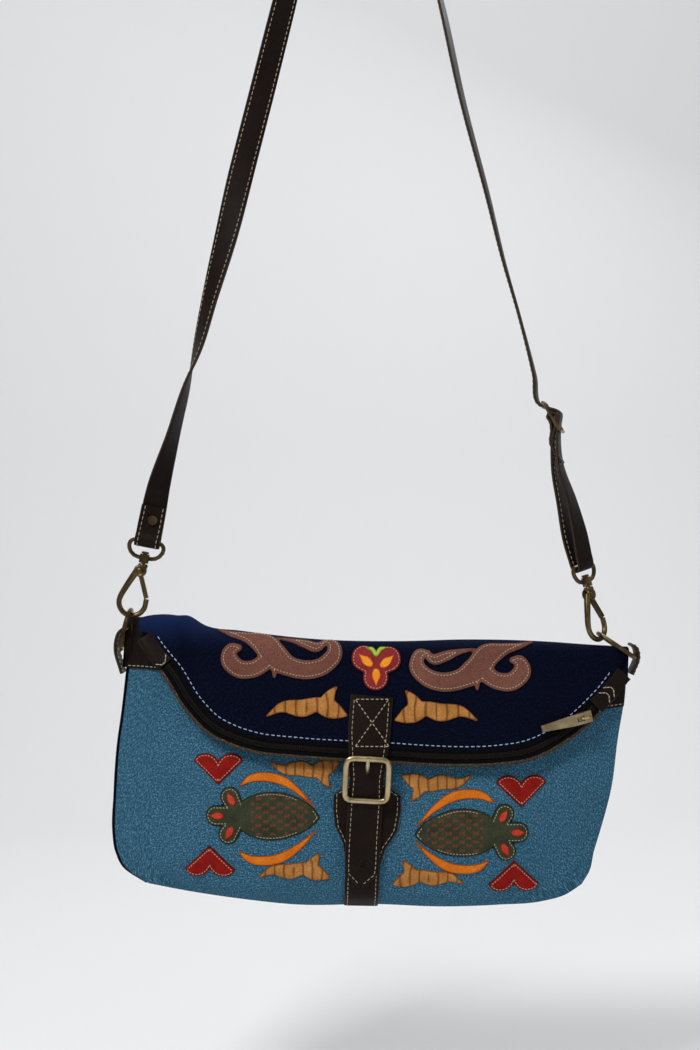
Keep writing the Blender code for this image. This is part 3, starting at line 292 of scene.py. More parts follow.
def hook_frame(origin, tilt, yaw):
    turn = Matrix.Rotation(math.radians(tilt), 4, "Y") @ Matrix.Rotation(math.radians(yaw), 4, "Z")
    return Matrix.Translation(origin) @ turn


HOOK_TILT = {"left": 11, "right": -15}
HOOK_RISE = {"left": 30.3 * MM, "right": 16.6 * MM}    # top corner of the bag up to the swivel
HOOKS = {
    "left": hook_frame((-0.43673 * BAG_WIDTH, 0, BAG_TOP + HOOK_RISE["left"]), HOOK_TILT["left"], 0),
    "right": hook_frame((0.46020 * BAG_WIDTH, 0, BAG_TOP + HOOK_RISE["right"]), HOOK_TILT["right"], 45),
}
RING_LEAN = {"left": Vector((-0.24, 0, -0.97)), "right": Vector((0.83, 0, -0.56))}


def ring_place(side):
    """Top of the ring's wire, its lean and its width direction."""
    frame = HOOKS[side]
    bow = frame @ Vector((BOW_SHIFT, 0, -BOW_DROP - BOW_RADIUS))
    lift = frame.to_3x3() @ Vector((0, 0, 1))
    top = bow + lift * (HOOK_WIRE + BAR_RADIUS + 0.4 * MM)
    top.y = bow.y
    return top, RING_LEAN[side].normalized(), Vector((0, 1, 0))


# Shoulder strap: across as a share of BAG_WIDTH, down as a share of the way to the bag's top corner,
# and the turn of its width direction about Z from +X, in degrees
LEFT_ROUTE = [
    (-0.37823, 0.78545, 66), (-0.34456, 0.71250, 90), (-0.33367, 0.69057, 108), (-0.30102, 0.61168, 135),
    (-0.26803, 0.53627, 160), (-0.24252, 0.47193, 180), (-0.19558, 0.36066, 195), (-0.15068, 0.25328, 208),
    (-0.10068, 0.13525, 242),
]
RIGHT_ROUTE = [
    (0.11156, 0.13525, 262), (0.16293, 0.25328, 252), (0.20714, 0.37480, 252), (0.26020, 0.49631, 255),
    (0.28776, 0.56434, 258), (0.32415, 0.64201, 260), (0.35238, 0.70902, 257),
]
SLIDE_AT = Vector((0.38980 * BAG_WIDTH, 0, 0.76004 * BAG_TOP))
SLIDE_TURN = 31.6
SLIDE_YAW = -15


def slide_frame():
    """Local X runs down the strap, local Z away from the bag's middle and local Y across the strap."""
    down = Vector((math.sin(math.radians(SLIDE_TURN)), 0, -math.cos(math.radians(SLIDE_TURN))))
    out = Vector((-down.z, 0, down.x))
    yaw = Matrix.Rotation(math.radians(SLIDE_YAW), 4, "Z")
    axes = Matrix((down, (0, -1, 0), out)).transposed().to_4x4()
    return Matrix.Translation(SLIDE_AT) @ yaw @ axes


def strap_route():
    """Points of the strap's middle line, with the turn and the tilt of its width direction."""
    def hung(rows):
        return [(across * BAG_WIDTH, 0, down * BAG_TOP, turn, 0) for across, down, turn in rows]

    route = []

    def add(frame, spots, tilt):
        for x, y, z, turn in spots:
            p = frame @ Vector((x, y, z))
            route.append((p.x, p.y, p.z, turn, tilt))

    def rising(rows, sign=1):
        return [(0, sign * out * MM, EYE_RISE + rise * MM, turn) for rise, out, turn in rows]

    def round_eye(yaw):
        return [(0, -wrap * math.cos(turn), EYE_RISE - wrap * math.sin(turn), yaw)
                for turn in np.radians([0, 45, 90, 135, 180])]

    def on_slide(rows):
        return [(along * SLIDE_REACH, 0, out, yaw) for along, out in rows]

    wrap = BAR_RADIUS + GAP + STRAP_THICK / 2
    eye, tilt = HOOKS["left"], HOOK_TILT["left"]
    add(eye, rising([(21.5, -1.35, 24), (16.5, -1.35, 20), (11, -1.35, 14), (5.5, -1.6, 6)]), tilt)
    add(eye, round_eye(0), tilt)
    add(eye, rising([(5.5, 1.6, 6), (11, 1.35, 14), (16.5, 1.35, 20), (21.5, 1.3, 24), (27, 1.0, 30)]), tilt)
    route += hung(LEFT_ROUTE)
    middle = HANG_RADIUS + STRAP_THICK / 2
    for turn in np.radians([166, 135, 110, 90, 70, 45, 14]):
        route.append((middle * math.cos(turn), 0, -HANG_RADIUS + middle * math.sin(turn), 270, 0))
    route += hung(RIGHT_ROUTE)

    slide = slide_frame()
    layer = STRAP_THICK + 0.45 * MM
    past = SLIDE_BAR + 2 * GAP + STRAP_THICK / 2
    bulge = past + layer
    yaw = 270 + SLIDE_YAW
    add(slide, on_slide([(-1.0, -past), (-0.55, (bulge - past) * 0.35), (0, bulge),
                         (0.5, (bulge - past) * 0.5), (1.0, -past)]), 0)
    eye, tilt = HOOKS["right"], HOOK_TILT["right"]
    add(eye, rising([(62, 3.6, 250), (38, 4.6, 240), (16, 4.0, 228), (5, 2.9, 225)], -1), tilt)
    add(eye, round_eye(225), tilt)
    add(eye, rising([(5, 2.9, 225), (16, 3.6, 228), (38, 2.6, 240), (62, 0.6, 250)]), tilt)
    add(slide, on_slide([(1.0, -past - 1.25 * layer), (0.5, -0.1 * layer), (0.12, past)]), 0)
    add(slide, [(-past * math.sin(turn), 0, past * math.cos(turn), yaw)
                for turn in np.radians([35, 90, 145])], 0)
    add(slide, on_slide([(0.25, -past), (0.7, -past - 0.9 * layer), (1.2, -past - 2.6 * layer),
                         (2.6, -past - 3.2 * layer)]), 0)
    return np.array(route)


# Closure strap: drop as a share of BAG_DROP, across as a share of BAG_WIDTH, lift off the face below it
ON_FLAP = [(0.269, 0.0235, 2.0), (0.33, 0.0205, 2.0), (0.39, 0.0180, 2.05), (0.445, 0.0160, 2.6)]
BUCKLE_DROP = 0.541
BELOW = [(0.617, 0.0110, 7.4), (0.68, 0.0085, 5.2), (0.75, 0.0060, 4.5), (0.83, 0.0040, 4.4),
         (0.908, 0.0010, 4.4)]
BASE_ROUTE = [(0.985, 0.002), (0.95, 0.003), (0.89, 0.004), (0.83, 0.006), (0.77, 0.009), (0.715, 0.012),
              (0.66, 0.0135), (0.605, 0.0142), (0.565, 0.0146)]


def face_point(place, row, lift):
    across = np.array(row[1] * BAG_WIDTH)
    return seat(place, across, np.array(BAG_TOP - row[0] * BAG_DROP), lift)


def buckle_frame():
    """Middle of the closure strap at the buckle: local Z up the strap, local Y into the bag."""
    above = Vector(face_point(on_flap, ON_FLAP[-1], ON_FLAP[-1][2] * MM))
    below = Vector(face_point(on_pouch, BELOW[0], BELOW[0][2] * MM))
    z = BAG_TOP - BUCKLE_DROP * BAG_DROP
    share = (above.z - z) / (above.z - below.z)
    middle = above.lerp(below, share)
    up = (above - below).normalized()
    right = Vector((1, 0, 0))
    right = (right - up * right.dot(up)).normalized()
    return Matrix.Translation(middle) @ Matrix((right, up.cross(right), up)).transposed().to_4x4()


# Ornament outlines: strokes of (across, up, half width), as shares of the ornament's width
SHAPES = {
    "scroll": [
        [(-0.50, 0.190, 0.010), (-0.41, 0.155, 0.024), (-0.26, 0.122, 0.050), (-0.136, 0.073, 0.092),
         (-0.050, -0.027, 0.104), (0.064, -0.100, 0.082), (0.227, -0.131, 0.074), (0.355, -0.090, 0.070),
         (0.430, 0.000, 0.062), (0.405, 0.080, 0.044), (0.336, 0.090, 0.022)],
        [(-0.027, 0.122, 0.008), (0.10, 0.100, 0.022), (0.20, 0.070, 0.038), (0.29, 0.045, 0.040),
         (0.35, 0.080, 0.022)],
        [(-0.10, -0.050, 0.070), (-0.209, -0.122, 0.068), (-0.330, -0.125, 0.072), (-0.412, -0.040, 0.070),
         (-0.395, 0.025, 0.050), (-0.335, 0.040, 0.026)],
        [(-0.045, -0.100, 0.035), (-0.050, -0.187, 0.010)],
    ],
    "trefoil": [
        [(-0.244, 0.190, 0.250), (-0.10, 0.08, 0.22)],
        [(0.249, 0.170, 0.250), (0.10, 0.08, 0.22)],
        [(0.000, 0.050, 0.200), (-0.010, -0.190, 0.255)],
    ],
    "leaf": [
        [(-0.493, -0.155, 0.012), (-0.30, -0.050, 0.065), (-0.048, -0.062, 0.108), (0.135, -0.020, 0.090),
         (0.29, -0.070, 0.115), (0.43, -0.127, 0.055), (0.50, -0.150, 0.015)],
        [(0.248, 0.000, 0.100), (0.304, 0.113, 0.055), (0.369, 0.190, 0.015)],
    ],
    "crescent": [
        [(-0.49, 0.064, 0.012), (-0.364, 0.148, 0.048), (-0.12, 0.170, 0.062), (0.06, 0.124, 0.060),
         (0.27, -0.012, 0.040), (0.485, -0.215, 0.010)],
    ],
    "heart": [
        [(side * 0.50, 0.150, 0.020), (side * 0.38, 0.170, 0.110), (side * 0.22, 0.115, 0.180),
         (side * 0.09, -0.040, 0.160), (0.0, -0.330, 0.015)]
        for side in (-1, 1)
    ],
    "bud": [
        [(0.50, -0.010, 0.010), (0.384, 0.000, 0.100), (0.24, 0.0, 0.175), (0.10, 0.0, 0.210),
         (-0.02, 0.0, 0.195), (-0.124, 0.0, 0.130), (-0.20, 0.0, 0.080)],
        [(-0.20, 0.0, 0.070), (-0.285, 0.165, 0.088)],
        [(-0.22, 0.0, 0.090), (-0.41, 0.0, 0.090)],
        [(-0.20, 0.0, 0.070), (-0.300, -0.160, 0.088)],
    ],
}
# Ornaments: shape, place (fold or pouch), across and drop as shares of the bag, width, mirrored, turned over
ORNAMENTS = {
    "scroll_left": ("scroll", "fold", -0.157, 0.126, 73 * MM, 1, 1),
    "scroll_right": ("scroll", "fold", 0.219, 0.167, 73 * MM, -1, 1),
    "trefoil": ("trefoil", "fold", 0.032, 0.176, 29 * MM, 1, 1),
    "leaf_top_left": ("leaf", "fold", -0.105, 0.292, 46 * MM, 1, 1),
    "leaf_top_right": ("leaf", "fold", 0.150, 0.306, 47 * MM, -1, 1),
    "leaf_mid_left": ("leaf", "pouch", -0.110, 0.532, 40.5 * MM, 1, -1),
    "leaf_mid_right": ("leaf", "pouch", 0.153, 0.578, 40.5 * MM, -1, -1),
    "leaf_low_left": ("leaf", "pouch", -0.131, 0.847, 41 * MM, 1, 1),
    "leaf_low_right": ("leaf", "pouch", 0.136, 0.872, 41 * MM, -1, 1),
    "crescent_top_left": ("crescent", "pouch", -0.163, 0.590, 44 * MM, 1, 1),
    "crescent_low_left": ("crescent", "pouch", -0.162, 0.780, 46 * MM, 1, -1),
    "crescent_top_right": ("crescent", "pouch", 0.188, 0.649, 46 * MM, -1, 1),
    "crescent_low_right": ("crescent", "pouch", 0.181, 0.814, 44 * MM, -1, -1),
    "heart_top_left": ("heart", "pouch", -0.281, 0.517, 27.5 * MM, 1, 1),
    "heart_low_left": ("heart", "pouch", -0.298, 0.835, 28.5 * MM, 1, -1),
    "heart_top_right": ("heart", "pouch", 0.320, 0.592, 28.5 * MM, 1, 1),
    "heart_low_right": ("heart", "pouch", 0.306, 0.887, 28.5 * MM, 1, -1),
    "bud_left": ("bud", "pouch", -0.193, 0.676, 66 * MM, 1, 1),
    "bud_right": ("bud", "pouch", 0.222, 0.733, 66 * MM, -1, 1),
}


def shape_depth(shape, points):
    """Signed distance to a shape's edge, below zero inside, in shares of its width."""
    best = np.full(points.shape[:-1], 9.0)
    for stroke in SHAPES[shape]:
        for x, z, half in through(stroke, 8):
            best = np.minimum(best, np.hypot(points[..., 0] - x, points[..., 1] - z) - half)
    return best


# Soft creases: place on the bag (x, z), direction in degrees, length, width and height
POUCH_CREASES = [
    (-0.110, -0.600, 80, 0.060, 0.009, -0.9), (-0.062, -0.648, 12, 0.050, 0.007, 0.7),
    (0.045, -0.652, -6, 0.060, 0.006, 0.6), (0.122, -0.600, 100, 0.060, 0.009, 0.8),
    (0.094, -0.572, 24, 0.045, 0.007, 0.5), (-0.106, -0.560, -38, 0.040, 0.008, 0.6),
    (-0.040, -0.600, 78, 0.050, 0.010, -0.5), (0.060, -0.610, 96, 0.060, 0.010, -0.5),
    (0.128, -0.640, 40, 0.040, 0.006, 0.9), (-0.120, -0.640, 120, 0.035, 0.006, 0.9),
    (-0.020, -0.655, 3, 0.030, 0.005, 0.5), (0.100, -0.655, 8, 0.030, 0.005, -0.5),
]
FLAP_CREASES = [
    (-0.103, -0.500, -74, 0.034, 0.0042, -2.6), (-0.115, -0.500, -50, 0.026, 0.006, 1.2),
    (-0.092, -0.506, -48, 0.026, 0.004, 1.4), (0.020, -0.560, 2, 0.110, 0.006, 0.6),
    (0.095, -0.530, -32, 0.050, 0.007, 0.6), (-0.060, -0.552, 14, 0.050, 0.005, 0.5),
    (0.070, -0.500, 4, 0.070, 0.005, 0.4), (0.130, -0.520, -58, 0.030, 0.005, 0.7),
    (-0.110, -0.515, 46, 0.026, 0.004, 0.6), (-0.020, -0.548, -3, 0.060, 0.007, -0.5),
]


def creases(x, z, rows):
    """Sum of long soft bumps h exp(-(a/length)^2 - (b/width)^2), a along and b across each crease."""
    total = np.zeros(np.broadcast(x, z).shape)
    for cx, cz, turn, length, width, height in rows:
        c, s = math.cos(math.radians(turn)), math.sin(math.radians(turn))
        a = (x - cx) * c + (z - cz) * s
        b = (z - cz) * c - (x - cx) * s
        total += height * MM * np.exp(-(a / length * 1.6) ** 2 - (b / width) ** 2)
    return total


def slack(x, z, scale):
    """Small uneven waves of sewn cloth: three crossed sines."""
    return scale * (np.sin(x * 131 + z * 47) + np.sin(z * 173 - x * 61 + 1.3)
                    + np.sin(x * 83 + z * 211 + 0.4))


def away_from_metal(x, z):
    """Nought beside the closure strap and the zip slider, one elsewhere."""
    strap = np.clip((np.abs(x - 0.003) - 0.017) / 0.012, 0, 1)
    slider = np.clip((np.hypot(x - 0.125, z + 0.548) - 0.016) / 0.012, 0, 1)
    return strap * slider


plain_pouch_y, plain_back_y, plain_flap_y = pouch_y, back_y, flap_y


def pouch_y(x, z):
    fade = np.clip((top_z(x) - z) / 0.03, 0, 1) * np.clip(swell(x, z, 1) * 3, 0, 1)
    folds = 2.5 * creases(x, z, POUCH_CREASES) + slack(x, z, 0.16 * MM)
    return plain_pouch_y(x, z) - folds * fade * away_from_metal(x, z)


def back_y(x, z):
    return plain_back_y(x, z) + slack(x + 0.3, z, 0.16 * MM) * np.clip(swell(x, z, 2) * 3, 0, 1)


def flap_y(x, z):
    fade = np.clip((top_z(x) - z) / 0.006, 0, 1) * np.clip(1.04 - flap_share(x, z), 0, 0.3) / 0.3
    ripple = slack(x * 1.7, z * 1.4, 0.10 * MM) + 1.3 * creases(x, z, FLAP_CREASES)
    return plain_flap_y(x, z) - ripple * fade * away_from_metal(x, z)


# Meshes


def add_piece(name, verts, faces, mat, uv=None, marks=None, body="root", slot=None, stands_for=()):
    """One finished object: world places, quads, a UV map in metres and named values per point."""
    mesh = bpy.data.meshes.new(name)
    mesh.from_pydata(np.asarray(verts).reshape(-1, 3).tolist(), [], [list(map(int, f)) for f in faces])
    loops = np.empty(len(mesh.loops), dtype=np.int32)
    mesh.loops.foreach_get("vertex_index", loops)
    if uv is not None:
        layer = mesh.uv_layers.new(name="cloth")
        layer.data.foreach_set("uv", np.asarray(uv, dtype=np.float32).reshape(-1, 2)[loops].ravel())
    for key, values in (marks or {}).items():
        attribute = mesh.attributes.new(key, "FLOAT", "POINT")
        attribute.data.foreach_set("value", np.asarray(values, dtype=np.float32).ravel())
    mesh.shade_smooth()
    mesh.set_sharp_from_angle(angle=math.radians(50))
    mesh.materials.append(mat)
    obj = bpy.data.objects.new(name, mesh)
    bpy.context.scene.collection.objects.link(obj)
    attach(obj, body)
    if stands_for:
        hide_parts(*stands_for)
    return obj


def quads(rows, cols, wrap=False):
    index = np.arange(rows * cols).reshape(rows, cols)
    if wrap:
        index = np.hstack([index, index[:, :1]])
    return np.stack([index[:-1, :-1], index[1:, :-1], index[1:, 1:], index[:-1, 1:]], axis=-1).reshape(-1, 4)


def border(rows, cols):
    """A grid's border points in turn, and each one's next."""
    index = np.arange(rows * cols).reshape(rows, cols)
    ring = np.concatenate([index[0], index[1:, -1], index[-1, -2::-1], index[-2:0:-1, 0]])
    return ring, np.roll(ring, -1)


def grid_normals(grid):
    normal = np.cross(np.gradient(grid, axis=1), np.gradient(grid, axis=0))
    return normal / np.maximum(np.linalg.norm(normal, axis=2), 1e-12)[..., None]


def grid_lengths(grid):
    """Arc length down and across a grid, in metres, measured from its middle."""
    down = np.linalg.norm(np.diff(grid, axis=0), axis=2)
    across = np.linalg.norm(np.diff(grid, axis=1), axis=2)
    down = np.vstack([np.zeros(grid.shape[1]), np.cumsum(down, axis=0)])
    across = np.hstack([np.zeros((grid.shape[0], 1)), np.cumsum(across, axis=1)])
    return np.stack([across - across[:, across.shape[1] // 2][:, None], down], axis=-1)


def shell(name, grid, thickness, mat, round_edge=0.35, **rest):
    """A sheet with two faces and rounded edges.

    Faces lie at mid + n t/2 e and mid - n t/2 e, where n is the grid's normal and e runs from round_edge at
    the border to 1 two rows in; the border rows are joined by a strip of quads.
    """
    rows, cols = grid.shape[:2]
    normal = grid_normals(grid)
    ease = np.ones((rows, cols))
    ease[0] = ease[-1] = round_edge
    ease[:, 0] = ease[:, -1] = round_edge
    half = normal * (thickness / 2 * ease)[..., None]
    verts = np.vstack([(grid + half).reshape(-1, 3), (grid - half).reshape(-1, 3)])
    count = rows * cols
    front = quads(rows, cols)
    ring, ahead = border(rows, cols)
    side = np.stack([ring, ahead, ahead + count, ring + count], axis=1)
    faces = np.vstack([front, front[:, ::-1] + count, side])
    uv = grid_lengths(grid).reshape(-1, 2)
    return add_piece(name, verts, faces, mat, uv=np.vstack([uv, uv]), **rest)


def path_frame(path, wide):
    """Run, width and outward directions along a path."""
    run = np.gradient(path, axis=0)
    run /= np.linalg.norm(run, axis=1)[:, None]
    wide = np.broadcast_to(np.asarray(wide, dtype=float), path.shape)
    wide = wide - run * (wide * run).sum(axis=1)[:, None]
    wide /= np.linalg.norm(wide, axis=1)[:, None]
    return run, wide, np.cross(run, wide)


def strap(name, path, wide, widths, thickness, mat, **rest):
    """A leather strap with softly rounded edges along a path.

    Round the strap the profile is (w/2 c |c|^(m-1), t/2 s |s|^(n-1)) with c, s the cosine and sine of an
    even turn, m = 0.14 and n = 0.5, so the faces are flat and the edges round.
    """
    run, wide, out = path_frame(path, wide)
    widths = np.broadcast_to(np.asarray(widths, dtype=float), (len(path),))
    turn = np.radians([4, 12, 30, 60, 90, 120, 150, 168, 176, 184, 192, 210, 240, 270, 300, 330, 348, 356])
    c, s = np.cos(turn), np.sin(turn)
    across = np.sign(c) * np.abs(c) ** 0.25
    lift = np.sign(s) * np.abs(s) ** 0.35
    rings = (path[:, None] + wide[:, None] * (widths[:, None] / 2 * across)[..., None]
             + out[:, None] * (thickness / 2 * lift)[None, :, None])
    count = len(turn)
    along = np.concatenate([[0], np.cumsum(np.linalg.norm(np.diff(path, axis=0), axis=1))])
    uv = np.stack(np.broadcast_arrays(along[:, None], widths[:, None] / 2 * across[None, :]), axis=-1)
    faces = [f[::-1] for f in quads(len(path), count, wrap=True)]
    faces += [np.arange(count), np.arange(count)[::-1] + (len(path) - 1) * count]
    inset = widths[:, None] / 2 * (1 - np.abs(across))[None, :]
    face = np.broadcast_to(np.sign(lift) * (np.abs(lift) > 0.9), rings.shape[:2])
    cut = np.broadcast_to((np.abs(lift) < 0.75).astype(float), rings.shape[:2])
    return add_piece(name, rings, faces, mat, uv=uv, marks={"inset": inset, "face": face, "cut": cut}, **rest)


def wire(name, path, radius, mat, flat=1.0, side=(0, 1, 0), cyclic=False, sides=20, **rest):
    """A round or flattened wire along a path: radius r, and r times flat along the side direction."""
    path = np.asarray(path, dtype=float)
    if cyclic:
        run = np.roll(path, -1, axis=0) - np.roll(path, 1, axis=0)
    else:
        run = np.gradient(path, axis=0)
    run /= np.linalg.norm(run, axis=1)[:, None]
    side = np.broadcast_to(np.asarray(side, dtype=float), path.shape)
    side = side - run * (side * run).sum(axis=1)[:, None]
    side /= np.linalg.norm(side, axis=1)[:, None]
    out = np.cross(run, side)
    radius = np.broadcast_to(np.asarray(radius, dtype=float), (len(path),))[:, None, None]
    turn = 2 * np.pi * np.arange(sides) / sides
    rings = path[:, None] + radius * (np.cos(turn)[None, :, None] * side[:, None] * flat
                                      + np.sin(turn)[None, :, None] * out[:, None])
    faces = [f[::-1] for f in quads(len(path), sides, wrap=True)]
    if cyclic:
        last = (len(path) - 1) * sides
        k = np.arange(sides)
        faces += list(np.stack([k, (k + 1) % sides, (k + 1) % sides + last, k + last], axis=1))
    else:
        faces += [np.arange(sides), np.arange(sides)[::-1] + (len(path) - 1) * sides]
    return add_piece(name, rings, faces, mat, **rest)


class Thread:
    """Gathers sewn stitches and makes them one mesh."""

    def __init__(self):
        self.parts = []

    def row(self, path, normal, pitch=3.1 * MM, length=2.2 * MM, radius=0.26 * MM, colour=0.5):
        """Stitches at an even pitch along a path."""
        path = np.asarray(path, dtype=float)
        far = np.concatenate([[0], np.cumsum(np.linalg.norm(np.diff(path, axis=0), axis=1))])
        if far[-1] < pitch * 0.8:
            return
        at = np.arange(pitch / 2, far[-1], pitch)
        centre = np.stack([np.interp(at, far, path[:, k]) for k in range(3)], axis=1)
        ahead = np.stack([np.interp(at + 0.3 * MM, far, path[:, k]) for k in range(3)], axis=1)
        behind = np.stack([np.interp(at - 0.3 * MM, far, path[:, k]) for k in range(3)], axis=1)
        along = ahead - behind
        along /= np.linalg.norm(along, axis=1)[:, None]
        normal = np.broadcast_to(np.asarray(normal, dtype=float), path.shape)
        up = np.stack([np.interp(at, far, normal[:, k]) for k in range(3)], axis=1)
        up -= along * (up * along).sum(axis=1)[:, None]
        up /= np.linalg.norm(up, axis=1)[:, None]
        size = np.full(len(at), 1.0)
        self.parts.append((centre, along, up, size * length, size * radius, size * colour))

    def build(self, name, mat, **rest):
        """Each stitch: at + a L/2 t + n r (0.8 - 1.3 t^2) + r w (side cos q + n sin q), w = 1 - 0.75 t^6."""
        at, along, up, length, radius, colour = [np.concatenate(c) for c in zip(*self.parts)]
        t = np.linspace(-1, 1, 6)
        q = 2 * np.pi * np.arange(6) / 6
        side = np.cross(along, up)
        middle = at[:, None] + along[:, None] * (length / 2)[:, None, None] * t[None, :, None]
        middle = middle + up[:, None] * (radius[:, None] * (0.8 - 1.3 * t ** 2))[..., None]
        around = side[:, None] * np.cos(q)[None, :, None] + up[:, None] * np.sin(q)[None, :, None]
        width = radius[:, None] * (1 - 0.75 * t ** 6)
        rings = middle[:, :, None] + around[:, None] * width[:, :, None, None]
        one = quads(6, 6, wrap=True)
        faces = (one[None] + (np.arange(len(at)) * 36)[:, None, None]).reshape(-1, 4)
        mark = np.broadcast_to(colour[:, None, None], rings.shape[:3])
        return add_piece(name, rings, faces, mat, marks={"shade": mark}, **rest)


# Materials: the groups hold the effects, each material holds its own Principled shader


class Net:
    """A node tree with short calls; every input is given by its socket's name or number."""

    def __init__(self, tree):
        self.tree = tree

    def node(self, kind, inputs=None, **settings):
        made = self.tree.nodes.new(kind)
        for key, value in settings.items():
            setattr(made, key, value)
        for key, value in (inputs or {}).items():
            if isinstance(value, bpy.types.NodeSocket):
                self.tree.links.new(value, made.inputs[key])
            else:
                made.inputs[key].default_value = value
        return made

    def math(self, operation, *values):
        return self.node("ShaderNodeMath", dict(enumerate(values)), operation=operation).outputs[0]

    def span(self, value, low, high):
        return self.node("ShaderNodeMapRange", {"Value": value, "From Min": low, "From Max": high},
                         interpolation_type="SMOOTHSTEP").outputs["Result"]

    def noise(self, vector, scale, detail=4.0, roughness=0.55):
        return self.node("ShaderNodeTexNoise", {"Vector": vector, "Scale": scale, "Detail": detail,
                                                "Roughness": roughness}).outputs[0]

    def mix(self, factor, a, b, blend="MIX"):
        made = self.node("ShaderNodeMix", data_type="RGBA", blend_type=blend)
        for k, value in ((0, factor), (6, a), (7, b)):
            if isinstance(value, bpy.types.NodeSocket):
                self.tree.links.new(value, made.inputs[k])
            else:
                made.inputs[k].default_value = value
        return made.outputs[2]


def shader_group(name, inputs, outputs):
    """An empty node group with named inputs and outputs; gives its net, input sockets and output node."""
    group = bpy.data.node_groups.new(name, "ShaderNodeTree")
    for key, (kind, value) in inputs.items():
        socket = group.interface.new_socket(name=key, in_out="INPUT", socket_type=kind)
        if value is not None:
            socket.default_value = value
    for key, kind in outputs.items():
        group.interface.new_socket(name=key, in_out="OUTPUT", socket_type=kind)
    net = Net(group)
    source = net.node("NodeGroupInput").outputs
    return net, source, net.node("NodeGroupOutput").inputs


VECTOR, FLOAT = "NodeSocketVector", "NodeSocketFloat"


def canvas_weave_group():
    """Plain weave: two families of threads, each on top in every other cell."""
    net, source, out = shader_group(
        "canvas_weave", {"Vector": (VECTOR, None), "Pitch": (FLOAT, 0.0009), "Unevenness": (FLOAT, 0.25)},
        {"Height": FLOAT, "Warp": FLOAT, "Fleck": FLOAT})
    shift = {"Vector": source["Vector"], "Scale": 260.0, "Detail": 2.0}
    shift = net.node("ShaderNodeTexNoise", shift).outputs[1]
    shift = net.node("ShaderNodeVectorMath", {0: shift, 1: (0.5, 0.5, 0.5)}, operation="SUBTRACT").outputs[0]
    amount = net.math("MULTIPLY", source["Pitch"], net.math("MULTIPLY", source["Unevenness"], 3.0))
    shift = net.node("ShaderNodeVectorMath", {0: shift, "Scale": amount}, operation="SCALE").outputs[0]
    place = net.node("ShaderNodeVectorMath", {0: source["Vector"], 1: shift}, operation="ADD").outputs[0]
    axes = net.node("ShaderNodeSeparateXYZ", {0: place}).outputs
    rate = net.math("DIVIDE", math.pi, source["Pitch"])
    warp = net.math("SINE", net.math("MULTIPLY", axes[0], rate))
    weft = net.math("SINE", net.math("MULTIPLY", axes[1], rate))
    over = net.span(net.math("MULTIPLY", warp, weft), -0.08, 0.08)
    high = net.math("ABSOLUTE", warp)
    low = net.math("ABSOLUTE", weft)
    height = net.math("ADD", net.math("MULTIPLY", high, over),
                      net.math("MULTIPLY", low, net.math("SUBTRACT", 1.0, over)))
    fine = net.noise(source["Vector"], 2600.0, 2.0)
    fine = net.math("MULTIPLY", net.math("SUBTRACT", fine, 0.5), source["Unevenness"])
    height = net.math("ADD", height, fine)
    stretched = net.node("ShaderNodeVectorMath", {0: source["Vector"], 1: (240.0, 1700.0, 900.0)},
                         operation="MULTIPLY").outputs[0]
    fleck = net.span(net.noise(stretched, 1.0, 2.0), 0.55, 0.75)
    net.tree.links.new(height, out["Height"])
    net.tree.links.new(over, out["Warp"])
    net.tree.links.new(fleck, out["Fleck"])
    return net.tree


def mottle_group():
    """Cloudy variation at a large and a small scale, from nought to one."""
    net, source, out = shader_group("mottle", {"Vector": (VECTOR, None), "Scale": (FLOAT, 30.0),
                                               "Contrast": (FLOAT, 0.5)}, {"Value": FLOAT})
    broad = net.noise(source["Vector"], source["Scale"], 3.0)
    small = net.noise(source["Vector"], net.math("MULTIPLY", source["Scale"], 7.0), 4.0, 0.65)
    both = net.math("ADD", net.math("MULTIPLY", broad, 0.6), net.math("MULTIPLY", small, 0.4))
    both = net.math("ADD", net.math("MULTIPLY", net.math("SUBTRACT", both, 0.5),
                                    net.math("MULTIPLY", source["Contrast"], 4.0)), 0.5)
    net.tree.links.new(net.node("ShaderNodeClamp", {0: both}).outputs[0], out["Value"])
    return net.tree


def leather_grain_group():
    """Pebbled grain: cells with sunken borders and long soft creases."""
    net, source, out = shader_group("leather_grain", {"Vector": (VECTOR, None), "Size": (FLOAT, 0.0009)},
                                    {"Height": FLOAT, "Crack": FLOAT})
    cell = {"Vector": source["Vector"], "Scale": net.math("DIVIDE", 1.0, source["Size"]), "Randomness": 1.0}
    cell = net.node("ShaderNodeTexVoronoi", cell, feature="DISTANCE_TO_EDGE").outputs["Distance"]
    border = net.span(cell, 0.0, 0.16)
    crease = net.span(net.noise(source["Vector"], 420.0, 5.0, 0.7), 0.42, 0.62)
    height = net.math("ADD", net.math("MULTIPLY", border, 0.55), net.math("MULTIPLY", crease, 0.45))
    net.tree.links.new(height, out["Height"])
    net.tree.links.new(net.math("SUBTRACT", 1.0, border), out["Crack"])
    return net.tree


def rubbed_group():
    """Wear that eats in from an edge: one where rubbed. Edge is one at the edge and falls to nought."""
    net, source, out = shader_group("rubbed", {"Vector": (VECTOR, None), "Edge": (FLOAT, 0.0),
                                               "Amount": (FLOAT, 0.5)}, {"Mask": FLOAT})
    ragged = net.noise(source["Vector"], 900.0, 4.0, 0.7)
    level = net.math("ADD", source["Edge"], net.math("MULTIPLY", net.math("SUBTRACT", ragged, 0.5), 0.9))
    level = net.math("ADD", level, net.math("SUBTRACT", source["Amount"], 0.5))
    net.tree.links.new(net.span(level, 0.55, 0.85), out["Mask"])
    return net.tree


GROUPS = {"weave": canvas_weave_group(), "mottle": mottle_group(), "grain": leather_grain_group(),
          "rubbed": rubbed_group()}


